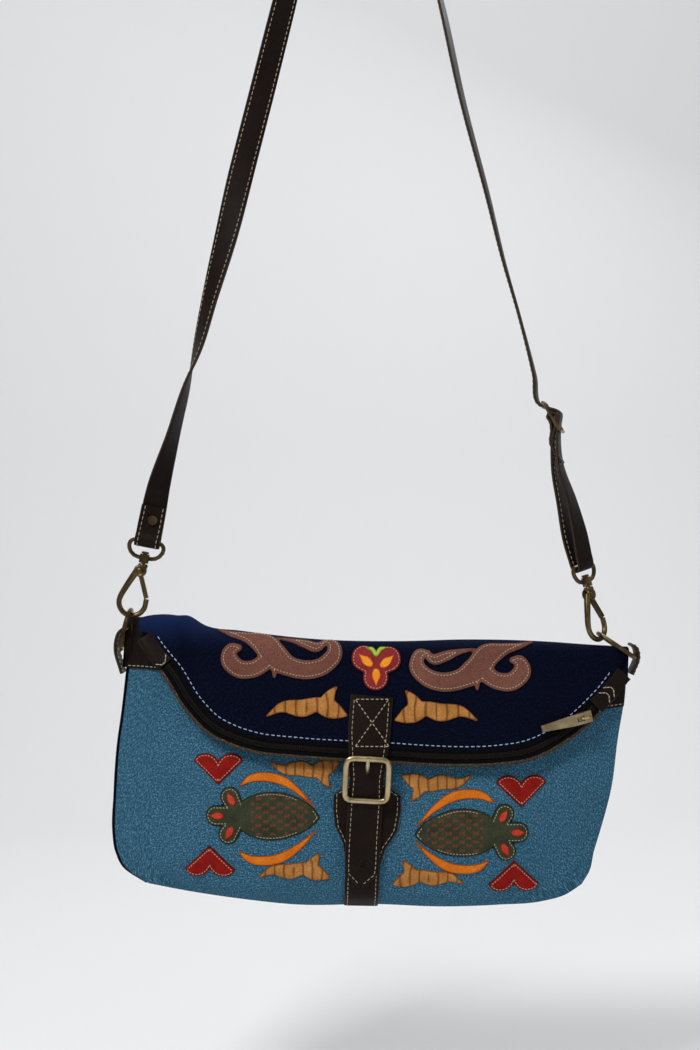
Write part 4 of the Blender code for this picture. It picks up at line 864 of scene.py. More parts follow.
def colour(text):
    """Linear colour of a six-digit screen colour."""
    parts = [int(text[k:k + 2], 16) / 255 for k in (0, 2, 4)]
    return tuple(p / 12.92 if p <= 0.04045 else ((p + 0.055) / 1.055) ** 2.4 for p in parts) + (1.0,)


def new_material(name, metallic=0.0, roughness=0.8, specular=0.5, sheen=0.0):
    mat = bpy.data.materials.new(name)
    mat.use_nodes = True
    net = Net(mat.node_tree)
    shader = mat.node_tree.nodes["Principled BSDF"]
    shader.inputs["Metallic"].default_value = metallic
    shader.inputs["Roughness"].default_value = roughness
    shader.inputs["Specular IOR Level"].default_value = specular
    shader.inputs["Sheen Weight"].default_value = sheen
    return mat, net, shader


def use_group(net, key, inputs):
    made = net.node("ShaderNodeGroup")
    made.node_tree = GROUPS[key]
    for name, value in inputs.items():
        if isinstance(value, bpy.types.NodeSocket):
            net.tree.links.new(value, made.inputs[name])
        else:
            made.inputs[name].default_value = value
    return made.outputs


def bump(net, shader, height, distance, strength=1.0):
    made = net.node("ShaderNodeBump", {"Height": height, "Distance": distance, "Strength": strength})
    net.tree.links.new(made.outputs[0], shader.inputs["Normal"])


def cloth_place(net):
    return net.node("ShaderNodeUVMap", uv_map="cloth").outputs[0]


def object_place(net):
    return net.node("ShaderNodeTexCoord").outputs["Object"]


def mark(net, name):
    return net.node("ShaderNodeAttribute", attribute_name=name).outputs["Fac"]


def canvas(name, base, light, dark, pitch, depth, roughness=0.9, contrast=0.35, fade=None, under_flap_shade_colour=None):
    """Woven cloth: lighter thread crowns, dark gaps, flecks and cloudy fading; the fade option paints a
    lighter band high up as painted light from above, and a marked part can be painted dark as painted shade
    under the flap.
    """
    mat, net, shader = new_material(name, roughness=roughness, specular=0.05, sheen=0.0)
    place = cloth_place(net)
    weave = use_group(net, "weave", {"Vector": place, "Pitch": pitch, "Unevenness": 0.7})
    cloud = use_group(net, "mottle", {"Vector": object_place(net), "Scale": 28.0, "Contrast": contrast})
    heather = net.noise(place, 1050.0, 3.0, 0.75)
    shade = net.mix(net.span(weave["Height"], 0.15, 0.85), colour(dark), colour(base))
    shade = net.mix(net.math("MULTIPLY", net.span(heather, 0.50, 0.64), 0.75), shade, colour(light))
    shade = net.mix(net.math("MULTIPLY", net.span(heather, 0.50, 0.38), 0.6), shade, colour(dark))
    shade = net.mix(net.math("MULTIPLY", weave["Fleck"], 0.35), shade, colour(light))
    shade = net.mix(net.math("MULTIPLY", cloud["Value"], 0.35), shade, colour(dark))
    # Painted shade: the marked hidden part of the flap's inner layer is coloured dark, standing for the
    # shadow under the flap
    if under_flap_shade_colour:
        shade = net.mix(mark(net, "under_flap_shade"), shade, colour(under_flap_shade_colour))
    # Painted light: a lighter tint from low to high in object Z, where light from above falls on the top of
    # the fold
    if fade:
        tint, low, high = fade
        up = net.node("ShaderNodeSeparateXYZ", {0: object_place(net)}).outputs[2]
        shade = net.mix(net.span(up, low, high), shade, colour(tint))
    net.tree.links.new(shade, shader.inputs["Base Color"])
    bump(net, shader, weave["Height"], depth, 0.8)
    return mat


def leather(name, base, light, cut, roughness=0.5, size=0.9 * MM, depth=0.12 * MM):
    """Grained leather with a paler cut edge, dark pores and rubbed borders."""
    mat, net, shader = new_material(name, specular=0.08)
    place = object_place(net)
    grain = use_group(net, "grain", {"Vector": place, "Size": size})
    cloud = use_group(net, "mottle", {"Vector": place, "Scale": 45.0, "Contrast": 0.5})
    near = net.span(mark(net, "inset"), 0.9 * MM, 0.0)
    rub = use_group(net, "rubbed", {"Vector": place, "Edge": near, "Amount": 0.36})
    shade = net.mix(net.math("MULTIPLY", cloud["Value"], 0.5), colour(base), colour(light))
    shade = net.mix(net.math("MULTIPLY", grain["Crack"], 0.6), shade, (0.002, 0.002, 0.002, 1.0))
    shade = net.mix(net.math("MULTIPLY", rub["Mask"], 0.5), shade, colour(cut))
    raw = net.math("MULTIPLY", mark(net, "cut"), net.span(net.noise(place, 1500.0), 0.2, 0.7))
    shade = net.mix(raw, shade, colour(cut))
    net.tree.links.new(shade, shader.inputs["Base Color"])
    dull = net.math("ADD", net.math("MULTIPLY", cloud["Value"], 0.2), roughness - 0.1)
    net.tree.links.new(dull, shader.inputs["Roughness"])
    bump(net, shader, grain["Height"], depth, 0.7)
    return mat


def old_brass(name, dark="1C150D", mid="4C3D28", bright="A08A60"):
    """Antiqued brass: clouds of dark and mid tone, and bright rubbed patches laid by noise."""
    mat, net, shader = new_material(name, metallic=1.0, roughness=0.3)
    place = object_place(net)
    cloud = use_group(net, "mottle", {"Vector": place, "Scale": 140.0, "Contrast": 0.6})
    edge = net.span(net.noise(place, 90.0, 2.0), 0.15, 0.9)
    shade = net.mix(cloud["Value"], colour(dark), colour(mid))
    shade = net.mix(net.math("MULTIPLY", edge, 0.6), shade, colour(bright))
    net.tree.links.new(shade, shader.inputs["Base Color"])
    dull = net.math("ADD", 0.24, net.math("MULTIPLY", cloud["Value"], 0.2))
    net.tree.links.new(dull, shader.inputs["Roughness"])
    bump(net, shader, net.noise(place, 900.0, 2.0), 0.03 * MM, 0.3)
    return mat


def sewn(name, pale, dark):
    """Twisted thread; shade goes from the dark to the pale colour."""
    mat, net, shader = new_material(name, roughness=0.75, specular=0.3, sheen=0.2)
    place = object_place(net)
    twist = net.noise(place, 4200.0, 2.0)
    tone = net.math("ADD", mark(net, "shade"), net.math("MULTIPLY", net.math("SUBTRACT", twist, 0.5), 0.5))
    net.tree.links.new(net.mix(tone, colour(dark), colour(pale)), shader.inputs["Base Color"])
    bump(net, shader, twist, 0.08 * MM, 0.6)
    return mat


def felt(name, base, light, dark, nap=0.12 * MM, bands=None, scales=None, depth_mark="inset"):
    """Napped or mottled patch, darker at its rim; bands and scales are extra drawn patterns."""
    mat, net, shader = new_material(name, roughness=0.92, specular=0.08)
    place = cloth_place(net)
    cloud = use_group(net, "mottle", {"Vector": place, "Scale": 120.0, "Contrast": 0.8})
    fine = net.noise(place, 3200.0, 3.0, 0.7)
    shade = net.mix(cloud["Value"], colour(base), colour(light))
    shade = net.mix(net.math("MULTIPLY", net.span(fine, 0.4, 0.7), 0.35), shade, colour(dark))
    speck = net.span(net.noise(place, 1300.0, 2.0), 0.45, 0.7)
    shade = net.mix(net.math("MULTIPLY", speck, 0.45), shade, colour(dark))
    if bands:
        shade = net.mix(net.math("MULTIPLY", mark(net, "band"), 0.9), shade, colour(bands))
    if scales:
        shade = net.mix(net.math("MULTIPLY", mark(net, "band"), 0.85), shade, colour(scales))
    near = net.span(mark(net, depth_mark), 1.1 * MM, 0.1 * MM)
    rub = use_group(net, "rubbed", {"Vector": place, "Edge": near, "Amount": 0.5})
    shade = net.mix(net.math("MULTIPLY", rub["Mask"], 0.75), shade, colour(dark))
    net.tree.links.new(shade, shader.inputs["Base Color"])
    bump(net, shader, fine, nap, 0.6)
    return mat


# The navy's fade tint is painted light over the top of the fold
NAVY = canvas("navy_cloth", "060A1D", "131E40", "02030A", 0.85 * MM, 0.22 * MM,
              fade=("142449", -0.510, -0.486))
# The blue cloth's dark colour on the flap's inner layer is painted shade under the flap
BLUE = canvas("blue_cloth", "386C8B", "7DAFC4", "16384B", 0.85 * MM, 0.26 * MM, under_flap_shade_colour="0A0F22")
TAPE_CLOTH = canvas("tape_cloth", "0A090A", "171517", "020202", 0.55 * MM, 0.12 * MM, 0.75)
TRIM_CLOTH = canvas("trim_cloth", "4C4238", "786A59", "241E19", 0.5 * MM, 0.15 * MM)
LEATHER = leather("strap_leather", "150C09", "2A1B14", "3A2E26", 0.42)
# Painted shade: near-black leather for the inside of the punched hole, standing for its shadow
HOLE_SHADE = leather("hole_shade_leather", "020101", "060404", "120D0A", 0.6)
BRASS = old_brass("old_brass")
# Painted light: a brighter copy of the same brass for the buckle ring, zip pull and slider, standing in for
# light catching them
LIT_BRASS = old_brass("lit_brass_copy", "7E6840", "B29C70", "F0E0B8")
CREAM = sewn("cream_thread", "CFC5A5", "8A7E60")
PALE_BLUE = sewn("pale_blue_thread", "B9C8D8", "7C8EA4")
COIL = leather("coil_nylon", "050505", "100E0E", "24201E", 0.35)
COIL.node_tree.nodes["Principled BSDF"].inputs["Metallic"].default_value = 0.0
PATCHES = {
    "scroll": leather("scroll_leather", "6E4236", "9A6A5C", "4A2A22", 0.7, 0.7 * MM, 0.08 * MM),
    "trefoil": felt("trefoil_felt", "84262A", "9C3638", "3E0E12"),
    "leaf": felt("leaf_felt", "9E662A", "C88F50", "6A3A18", bands="4E1A14"),
    "crescent": felt("crescent_felt", "CC6410", "E6862A", "7A3408"),
    "heart": felt("heart_felt", "7E130F", "9C2019", "380706"),
    "bud": felt("bud_felt", "2F3426", "454A36", "10120B", nap=0.2 * MM, scales="7E3A2A"),
    "petal": felt("petal_felt", "F08A1E", "FFA63C", "A0500C"),
    "sprig": felt("sprig_felt", "A8B83A", "C6D458", "5A6A18"),
    "seed": felt("seed_felt", "B23422", "D0523C", "6A160E"),
}


# Cloth panels


def fold_x_at(a, first=FOLD_FROM):
    return BAG_WIDTH * (first + (FOLD_TO - first) * a)


def pouch_part(y_of, fold_x, start_z, a, count, wider=0.0):
    """Rows from the fold to the bottom seam: x = left + (right - left) a, z from start_z to the seam."""
    share = (np.linspace(0, 1, count + 1)[1:] ** 0.95)[:, None]
    z_left = BAG_TOP - BAG_DROP * EDGES[-1][0] * share
    z_right = top_z(fold_x[-1:]) * (1 - share) + (BAG_TOP - BAG_DROP * EDGES[-1][0]) * share
    left = edge_x(z_left, 1) - wider
    right = edge_x(z_right, 2)
    x = left + (right - left) * a
    z = start_z * (1 - share) + bottom_z(np.clip(x, left + wider, None)) * share
    return np.stack([x, y_of(x, z), z], axis=-1)


def flap_part(y_of, edge_points, fold_x, start_z, count):
    """Rows from the flap's edge up to the fold, straight between the two in x and z."""
    share = np.linspace(0, 1, count)[:, None]
    x = edge_points[:, 0] * (1 - share) + fold_x * share
    z = edge_points[:, 1] * (1 - share) + start_z * share
    return np.stack([x, y_of(x, z), z], axis=-1)


def over_fold(fold_x, start_z, front, back, rise, count):
    """Half ellipse over the fold: y = m - h cos q, z = start + rise sin q."""
    q = np.linspace(0, np.pi, count)[1:, None]
    y = (front + back) / 2 - (back - front) / 2 * np.cos(q)
    z = start_z + rise * np.sin(q)
    return np.stack([np.broadcast_to(fold_x, y.shape), y, z], axis=-1)


def spread(count):
    t = np.linspace(0, 1, count)
    return 0.45 * t + 0.55 * (1 - np.cos(np.pi * t)) / 2


def crumple(x):
    """Slack of the cloth over the fold near its left end: h1 exp(-((x - a)/w)^2) - h2 exp(-((x - b)/v)^2)."""
    return 3.0 * MM * np.exp(-((x + 0.131) / 0.014) ** 2) - 1.3 * MM * np.exp(-((x + 0.107) / 0.005) ** 2)


def make_panels():
    columns = 260
    a = spread(columns)
    path, normal = rim_path(1001)
    picks = np.round(a * 1000).astype(int)
    fold_x = fold_x_at(a, -0.443)
    rise = fold_rise(fold_x)
    start_z = top_z(fold_x) - rise
    outer = (path + normal * BAND)[picks]
    rows = [flap_part(flap_y, outer, fold_x, start_z, 56),
            over_fold(fold_x, start_z, flap_y(fold_x, start_z), back_y(fold_x, start_z),
                      rise + crumple(fold_x), 26),
            pouch_part(back_y, fold_x, start_z, a, 90, wider=2.2 * MM)]
    grid = np.vstack(rows)
    navy = shell("navy_panel", grid, CANVAS, NAVY, slot="navy_canvas", stands_for=["back_panel"])

    fold_x = fold_x_at(a)
    rise = fold_rise(fold_x)
    start_z = top_z(fold_x) - rise
    inner = (path + normal * 1.2 * MM)[picks]
    rows = [flap_part(lining_y, inner, fold_x, start_z, 50),
            over_fold(fold_x, start_z, lining_y(fold_x, start_z), pouch_y(fold_x, start_z), TURN / 2, 12),
            pouch_part(pouch_y, fold_x, start_z, a, 130)]
    grid = np.vstack(rows)
    # Painted shade: the flap rows and the first fold rows are marked for the dark colour, standing for the
    # shadow under the flap
    under_flap_shade = np.zeros(grid.shape[:2])
    under_flap_shade[:54] = 1.0
    blue = shell("blue_panel", grid, CANVAS, BLUE, slot="blue_canvas", stands_for=["front_panel"],
                 marks={"under_flap_shade": np.tile(under_flap_shade.ravel(), 2)})


def rim_grid(first, last, inner, outer, lift, count, across, height=None):
    """Strip along the rim: across from inner to outer, lifted by lift plus height(s, u)."""
    path, normal = rim_path(2001)
    s = np.linspace(first, last, count)
    length = np.linspace(0, 1, 2001)
    px, pz = [np.interp(s, length, path[:, k]) for k in range(2)]
    nx, nz = [np.interp(s, length, normal[:, k]) for k in range(2)]
    d = np.linspace(inner, outer, across)[:, None]
    x, z = px + nx * d, pz + nz * d
    u = np.linspace(-1, 1, across)[:, None]
    extra = 0.0 if height is None else height(s[None], u)
    return seat(on_flap, x, z, lift + extra)


def make_zip():
    middle = (PIPING + BAND) / 2
    half = COIL_WIDTH / 2
    path, _ = rim_path(401)
    rim_length = float(np.linalg.norm(np.diff(path, axis=0), axis=1).sum())
    teeth = round((ZIP_TO - ZIP_FROM) * rim_length / (1.25 * MM))

    def ribs(s, u):
        """Crown across the coil and one rib a tooth: h ((1 - u^2)^0.5 (0.45 + 0.55 |sin(pi n s)|) - 1/2)."""
        beat = np.pi * teeth * (s - ZIP_FROM) / (ZIP_TO - ZIP_FROM) + 0.5 * np.sign(u) * np.abs(u)
        beat = np.abs(np.sin(beat))
        crown = np.clip(1 - u ** 2, 0, 1) ** 0.5
        groove = 1 - 0.35 * np.exp(-(u / 0.12) ** 2)
        return COIL_HEIGHT * (crown * (0.45 + 0.55 * beat) * groove) - COIL_HEIGHT / 2

    top = rim_grid(ZIP_FROM, ZIP_TO, middle - half, middle + half, 0.2 * MM, teeth * 6, 13, ribs)
    flat = rim_grid(ZIP_FROM, ZIP_TO, middle - half, middle + half, 0.2 * MM - COIL_HEIGHT / 2, teeth * 6, 13)
    count = top.shape[0] * top.shape[1]
    front = quads(*top.shape[:2])
    ring, ahead = border(*top.shape[:2])
    side = np.stack([ring, ring + count, ahead + count, ahead], axis=1)
    add_piece("coil_teeth", np.vstack([top.reshape(-1, 3), flat.reshape(-1, 3)]),
              np.vstack([front[:, ::-1], front + count, side]), COIL, slot="zip_coil",
              stands_for=["zip_coil"])
    for name, low, high in (("upper", middle + half + 0.1 * MM, BAND + 1.2 * MM),
                            ("lower", PIPING - 0.2 * MM, middle - half - 0.1 * MM)):
        grid = rim_grid(ZIP_FROM, ZIP_TO, low, high, -0.1 * MM, 500, 8)
        shell(f"tape_{name}", grid[::-1], TAPE, TAPE_CLOTH, slot="zip_tape", stands_for=[f"zip_tape_{name}"])

    def roll(s, u):
        return PIPING * 0.42 * np.clip(1 - u ** 2, 0, 1) ** 0.5

    grid = rim_grid(ZIP_FROM, ZIP_TO, -0.1 * MM, PIPING, -0.35 * MM, 700, 10, roll)
    shell("rim_piping", grid[::-1], 0.9 * MM, TRIM_CLOTH, slot="edge_trim", stands_for=["edge_piping"])
    for name, first, last, outer in (("zip_end_left", 0.0, ZIP_FROM - 0.003, BAND + 0.4 * MM),
                                     ("zip_end_right", ZIP_TO + 0.003, 1.0, BAND + 0.4 * MM)):
        grid = rim_grid(first, last, 0, outer, 0, 40, 14)
        leather_sheet(f"{name}_leather", grid[::-1], 1.6 * MM, [name])
        for s in ((0.052,) if name == "zip_end_left" else (0.944, 0.957)):
            bars = rim_grid(s, s + 0.012, 1.0 * MM, outer - 1.0 * MM, 0.9 * MM, 20, 40)
            bow = np.round(14 * np.sin(np.pi * np.linspace(0, 1, 40))).astype(int)
            SEAMS.row(bars[np.arange(40), bow], (0, -1, 0), 2.3 * MM, 2.2 * MM)


def make_corners():
    """Leather over the pouch's two top corners: x and z run between an upper and a lower line."""
    lines = {
        "left": ([(-0.1340, -0.4893), (-0.1275, -0.4893), (-0.1130, -0.5050)],
                 [(-0.1370, -0.5195), (-0.1270, -0.5200), (-0.1080, -0.5215)]),
        "right": ([(0.1440, -0.5170), (0.1520, -0.5120), (0.1585, -0.5080)],
                  [(0.1300, -0.5480), (0.1420, -0.5440), (0.1560, -0.5420)]),
    }
    for side, (upper, lower) in lines.items():
        t = np.linspace(0, 1, 30)
        far = np.linspace(0, 1, 3)
        top = np.stack([np.interp(t, far, np.array(upper)[:, k]) for k in range(2)], axis=1)
        low = np.stack([np.interp(t, far, np.array(lower)[:, k]) for k in range(2)], axis=1)
        share = np.linspace(0, 1, 24)[:, None, None]
        flat = low[None] * (1 - share) + top[None] * share
        grid = seat(on_pouch, flat[..., 0], flat[..., 1], CANVAS / 2 + 0.55 * MM)
        leather_sheet(f"corner_{side}", grid, 0.9 * MM, [])
        line = seat(on_pouch, low[:, 0], low[:, 1] + 1.6 * MM, CANVAS / 2 + 1.0 * MM)
        SEAMS.row(line, (0, -1, 0), 2.6 * MM, 1.9 * MM)


def make_side_wrap():
    """The left corner leather goes on round the pouch's side: x = edge - bulge sin q, y front to back."""
    z = np.linspace(-0.4900, -0.5190, 16)[:, None]
    q = np.linspace(0, np.pi, 24)[None, :]
    edge = -0.1345 - 0.0022 * (-0.4900 - z) / 0.029
    front = pouch_y(edge, z)
    back = back_y(edge, z)
    x = edge - 3.6 * MM * np.sin(q)
    y = front + (back - front) * (1 - np.cos(q)) / 2 - 0.9 * MM * np.cos(q)
    leather_sheet("corner_left_side", np.stack(np.broadcast_arrays(x, y, z), axis=-1)[:, ::-1], 0.9 * MM, [])


def leather_sheet(name, grid, thickness, nodes):
    """A flat leather piece with marks for its border."""
    rows, cols = grid.shape[:2]
    step = [np.linalg.norm(np.diff(grid, axis=k), axis=2).mean() for k in (0, 1)]
    r = np.minimum(np.arange(rows), rows - 1 - np.arange(rows))[:, None] * step[0]
    c = np.minimum(np.arange(cols), cols - 1 - np.arange(cols))[None, :] * step[1]
    inset = np.minimum(r, c).ravel()
    cut = np.zeros(rows * cols)
    return shell(name, grid, thickness, LEATHER, round_edge=0.7, slot="dark_leather", stands_for=nodes,
                 marks={"inset": np.tile(inset, 2), "cut": np.tile(cut, 2)})


# Straps


def rows_on(path, wide, widths, thickness, inset, flip=1, **stitch):
    """Two stitched rows on a strap's outer face, or on its other face with flip -1."""
    _, wide, out = path_frame(path, wide)
    out = out * flip
    for sign in (-1, 1):
        reach = (np.broadcast_to(widths, (len(path),)) / 2 - inset)[:, None] * sign
        SEAMS.row(path + wide * reach + out * thickness / 2, out, **stitch)


def make_straps():
    route = through(strap_route(), 14)
    path = route[:, :3]
    turn, tilt = np.radians(route[:, 3]), np.radians(route[:, 4])
    wide = np.stack([np.cos(turn) * np.cos(tilt), np.sin(turn), -np.cos(turn) * np.sin(tilt)], axis=1)
    strap("long_strap", path, wide, STRAP_WIDTH, STRAP_THICK, LEATHER, slot="dark_leather",
          stands_for=["shoulder_strap"])
    rows_on(path, wide, STRAP_WIDTH, STRAP_THICK, 2.0 * MM, pitch=3.2 * MM, length=2.3 * MM, radius=0.18 * MM)
    for side in ("left", "right"):
        points = tab_points(side)
        path = through(points, 14)
        strap(f"ring_tab_{side}_leather", path, (0, 1, 0), TAB_WIDTH, 1.8 * MM, LEATHER, slot="dark_leather",
              stands_for=[f"ring_tab_{side}"])
        rows_on(path, (0, 1, 0), TAB_WIDTH, 1.8 * MM, 1.8 * MM, pitch=2.8 * MM, length=2.0 * MM)


def tab_points(side):
    """Middle line of the leather loop through the D-ring."""
    top, lean, _ = ring_place(side)
    bar = top + lean * RING_HEIGHT
    sign = -1 if side == "left" else 1
    reach = BAR_RADIUS + GAP + 0.9 * MM
    loop = [(-reach - 2.5 * MM, 14 * MM), (0.3 * MM, 10.5 * MM), (reach, 4 * MM), (reach, -1 * MM),
            (reach - 1.2 * MM, -6 * MM), (0, -10 * MM), (-1.2 * MM, -14 * MM)]
    if side == "right":
        loop = [(-1.0 * MM, 7.0 * MM), (1.4 * MM, 5.4 * MM), (reach, 2.6 * MM), (reach, -1.6 * MM),
                (reach - 1.0 * MM, -4.6 * MM), (0.2 * MM, -7.4 * MM), (-0.8 * MM, -10.4 * MM)]
    return [(bar.x + sign * a, bar.y, bar.z + b) for a, b in loop]


def turned(name, profile, at, axis, mat, sides=32, **rest):
    """A solid of revolution: each (radius, height) pair of the profile is swept round the axis."""
    axis = np.asarray(axis, dtype=float) / np.linalg.norm(axis)
    side = np.cross(axis, (0.3, 0.2, 0.93))
    side /= np.linalg.norm(side)
    other = np.cross(axis, side)
    profile = np.array(profile) * MM
    q = 2 * np.pi * np.arange(sides) / sides
    round_ = np.cos(q)[:, None] * side + np.sin(q)[:, None] * other
    rings = np.asarray(at) + profile[:, 1][:, None, None] * axis + profile[:, 0][:, None, None] * round_[None]
    faces = [f[::-1] for f in quads(len(profile), sides, wrap=True)]
    return add_piece(name, rings, faces, mat, **rest)


def make_hooks():
    """Cast snap hooks: a round head with a screw, a wire that narrows round the bow, and the swivel."""
    for side in ("left", "right"):
        at = HOOKS[side]
        body = f"hook_{side}"
        axes = np.array(at.to_3x3())
        angle = np.radians(np.linspace(163, 355, 60))
        arc = np.array([BOW_SHIFT, -BOW_DROP]) + BOW_RADIUS * np.stack([np.cos(angle), np.sin(angle)], axis=1)
        spine = np.array([(-2.6, -4.6), (-4.0, -7.4), (-5.6, -11), (-7.7, -16.2)]) * MM
        nose = np.array([(BOW_SHIFT + BOW_RADIUS, -20.5 * MM)])
        flat = through([(x, 0, z) for x, z in np.vstack([spine, arc[::6], nose])], 8)
        path = flat @ axes.T + np.array(at.translation)
        share = np.linspace(0, 1, len(path))
        radius = HOOK_WIRE * (1.28 - 0.32 * np.clip(share / 0.35, 0, 1))
        wire(f"hook_{side}_bow", path, radius, BRASS, side=axes[:, 1], body=body, slot="antique_brass",
             stands_for=[f"hook_body_{side}"])
        centre = np.array(at @ Vector((-1 * MM, 0, -4.6 * MM)))
        for name, sign in (("front", -1), ("back", 1)):
            profile = [(0.01, 2.9), (1.5, 2.88), (1.7, 2.7), (1.8, 2.45), (2.0, 2.4), (2.3, 2.75),
                       (2.7, 2.85), (3.2, 2.7), (3.6, 2.3), (3.7, 1.6), (3.6, 1.5)]
            turned(f"hook_{side}_cheek_{name}", profile, centre, axes[:, 1] * sign, BRASS, body=body,
                   slot="antique_brass")
        neck = np.array(at.translation)
        profile = [(0.01, -3.2), (2.0, -3.2), (2.9, -2.6), (3.0, -1.2), (2.6, -0.3), (1.3, -0.2), (1.3, 5.8),
                   (2.0, 5.9), (2.3, 6.3), (2.2, 6.9), (1.4, 7.2), (0.01, 7.25)]
        turned(f"hook_{side}_post", profile, neck, axes[:, 2], BRASS, body=body, slot="antique_brass")


def make_buckle():
    """Buckle frame: |x/a|^7 + |z/b|^7 = 1 in a slightly flattened wire, its two posts and its bar."""
    at = buckle_frame()
    front = -CLOSURE_THICK / 2 - GAP - BUCKLE_WIRE
    half = (BUCKLE_WIDTH / 2 - BUCKLE_WIRE, BUCKLE_HEIGHT / 2 - BUCKLE_WIRE)
    bar = CLOSURE_THICK / 2 + GAP + BASE_THICK + 2 * GAP + CENTRE_BAR
    t = 2 * np.pi * np.arange(120) / 120
    c, s = np.cos(t), np.sin(t)
    flat = np.stack([half[0] * np.sign(c) * np.abs(c) ** (2 / 7), 0 * t + front,
                     half[1] * np.sign(s) * np.abs(s) ** (2 / 7)], axis=1)
    axes = np.array(at.to_3x3())
    place = np.array(at.translation)
    # The ring takes the brighter brass copy as painted light; the posts and the bar keep the plain brass
    wire("buckle_ring", flat @ axes.T + place, BUCKLE_WIRE * 1.12, LIT_BRASS, flat=0.85, side=axes[:, 1],
         cyclic=True, slot="antique_brass", stands_for=["closure_buckle"])
    links = [((x, front, 0), (x, bar + CENTRE_BAR, 0), 1.1 * MM) for x in (-half[0], half[0])]
    links.append(((-half[0], bar, 0), (half[0], bar, 0), CENTRE_BAR))
    for k, (start, end, radius) in enumerate(links):
        line = np.linspace(start, end, 6) @ axes.T + place
        wire(f"buckle_link_{k}", line, radius, BRASS, side=axes[:, 2], slot="antique_brass")


def make_punch():
    """The tongue's punched hole: a near-black cup, painted shade standing for the shadow in the hole, with a
    soft raised rim, turned about the strap's normal.
    """
    points, _, _, _ = closure_lines()
    run = points[9] - points[7]
    out = np.cross(run, (1, 0, 0))
    out *= -np.sign(out[1]) / np.linalg.norm(out)
    profile = [(0.01, 1.02), (0.85, 1.02), (1.1, 1.06), (1.3, 1.12), (1.5, 1.08), (1.6, 0.96), (1.55, 0.8)]
    turned("tongue_hole", profile, points[8], out, HOLE_SHADE, slot="dark_leather")


def closure_lines():
    """Middle lines and widths of the closure strap and of the base strap."""
    at = buckle_frame()
    points = [face_point(on_flap, row, row[2] * MM) for row in ON_FLAP]
    points.append(np.array(at.translation))
    points += [face_point(on_pouch, row, row[2] * MM) for row in BELOW]
    widths = [CLOSURE_WIDTH] * 3 + [CLOSURE_WIDTH - 2 * MM] + [TONGUE_WIDTH - 1 * MM] + [TONGUE_WIDTH] * 4
    widths += [1.5 * MM]
    points.insert(-1, points[-1] + (points[-2] - points[-1]) * 0.62)
    widths.insert(-1, TONGUE_WIDTH * 0.96)
    wrap = CENTRE_BAR + 2 * GAP + BASE_THICK / 2
    bar = Vector((0, CLOSURE_THICK / 2 + GAP + BASE_THICK + 2 * GAP + CENTRE_BAR, 0))
    lift = CANVAS / 2 + GAP + BASE_THICK / 2
    base = [face_point(on_pouch, row, lift) for row in BASE_ROUTE]
    base_widths = [TONGUE_WIDTH] * 4 + [TONGUE_WIDTH + 5 * MM, BASE_WIDTH - 3 * MM, BASE_WIDTH, BASE_WIDTH,
                                        TONGUE_WIDTH - 2.5 * MM]
    for turn in np.radians([20, 70, 120, 180]):
        base.append(np.array(at @ (bar + Vector((0, wrap * math.cos(turn), wrap * math.sin(turn))))))
        base_widths.append(TONGUE_WIDTH - 2.5 * MM)
    for down in (4 * MM, 9 * MM):
        base.append(np.array(at @ (bar + Vector((0, -wrap, -down)))))
        base_widths.append(TONGUE_WIDTH - 2.5 * MM)
    return points, widths, base, base_widths


def along_widths(points, widths, steps):
    path = through(points, steps)
    at = np.arange(len(path)) / steps
    return path, np.interp(at, np.arange(len(widths)), widths)


def make_closure():
    points, widths, base, base_widths = closure_lines()
    path, width = along_widths(points, widths, 16)
    strap("closure_leather", path, (1, 0, 0), width, CLOSURE_THICK, LEATHER, slot="dark_leather",
          stands_for=["closure_strap"])
    rows_on(path[4:-6], (1, 0, 0), width[4:-6], CLOSURE_THICK, 2.2 * MM, pitch=3.0 * MM, length=2.2 * MM,
            radius=0.18 * MM)
    face = -CLOSURE_THICK / 2
    top = path[0]
    low = path[46]
    half = CLOSURE_WIDTH / 2 - 2.6 * MM
    corners = [(-half, 0.06), (half, 0.06), (half, 0.96), (-half, 0.96)]
    spots = [np.array([top[0] + x, 0, 0]) + (top * (1 - k) + low * k) * (0, 1, 1) for x, k in corners]
    spots = [np.array([s[0], np.interp(-s[2], -path[:47, 2], path[:47, 1]) + face, s[2]]) for s in spots]
    for a, b in ((0, 1), (2, 3), (0, 2), (1, 3)):
        t = np.linspace(0, 1, 12)[:, None]
        line = spots[a] * (1 - t) + spots[b] * t
        line[:, 1] = np.interp(-line[:, 2], -path[:47, 2], path[:47, 1]) + face
        SEAMS.row(line, (0, -1, 0), 2.8 * MM, 2.0 * MM)
    path, width = along_widths(base, base_widths, 16)
    strap("base_leather", path, (1, 0, 0), width, BASE_THICK, LEATHER, slot="dark_leather",
          stands_for=["base_strap"])
    rows_on(path[:134], (1, 0, 0), width[:134], BASE_THICK, 1.9 * MM, flip=-1, pitch=3.0 * MM,
            length=2.2 * MM, radius=0.18 * MM)


# Ornaments


def patch_place(row, flat):
    """Where a point of an ornament lies: its place on the fold or on the pouch."""
    _, where, across, drop, width, mirror, turn = row
    flat = np.asarray(flat) * width * (mirror, turn)
    x = across * BAG_WIDTH + flat[..., 0]
    z = BAG_TOP - drop * BAG_DROP + flat[..., 1]
    if where == "fold":
        return on_fold, x, z - top_z(x) - (np.pi / 2 - 1) * fold_rise(x)
    return on_pouch, x, z


def shape_slope(shape, at, h):
    """Slope of a shape's signed distance, by central differences of step h."""
    slope = np.stack([shape_depth(shape, at + (h, 0)) - shape_depth(shape, at - (h, 0)),
                      shape_depth(shape, at + (0, h)) - shape_depth(shape, at - (0, h))], axis=-1) / (2 * h)
    slope /= np.maximum(np.linalg.norm(slope, axis=-1), 0.5)[..., None]
    return slope


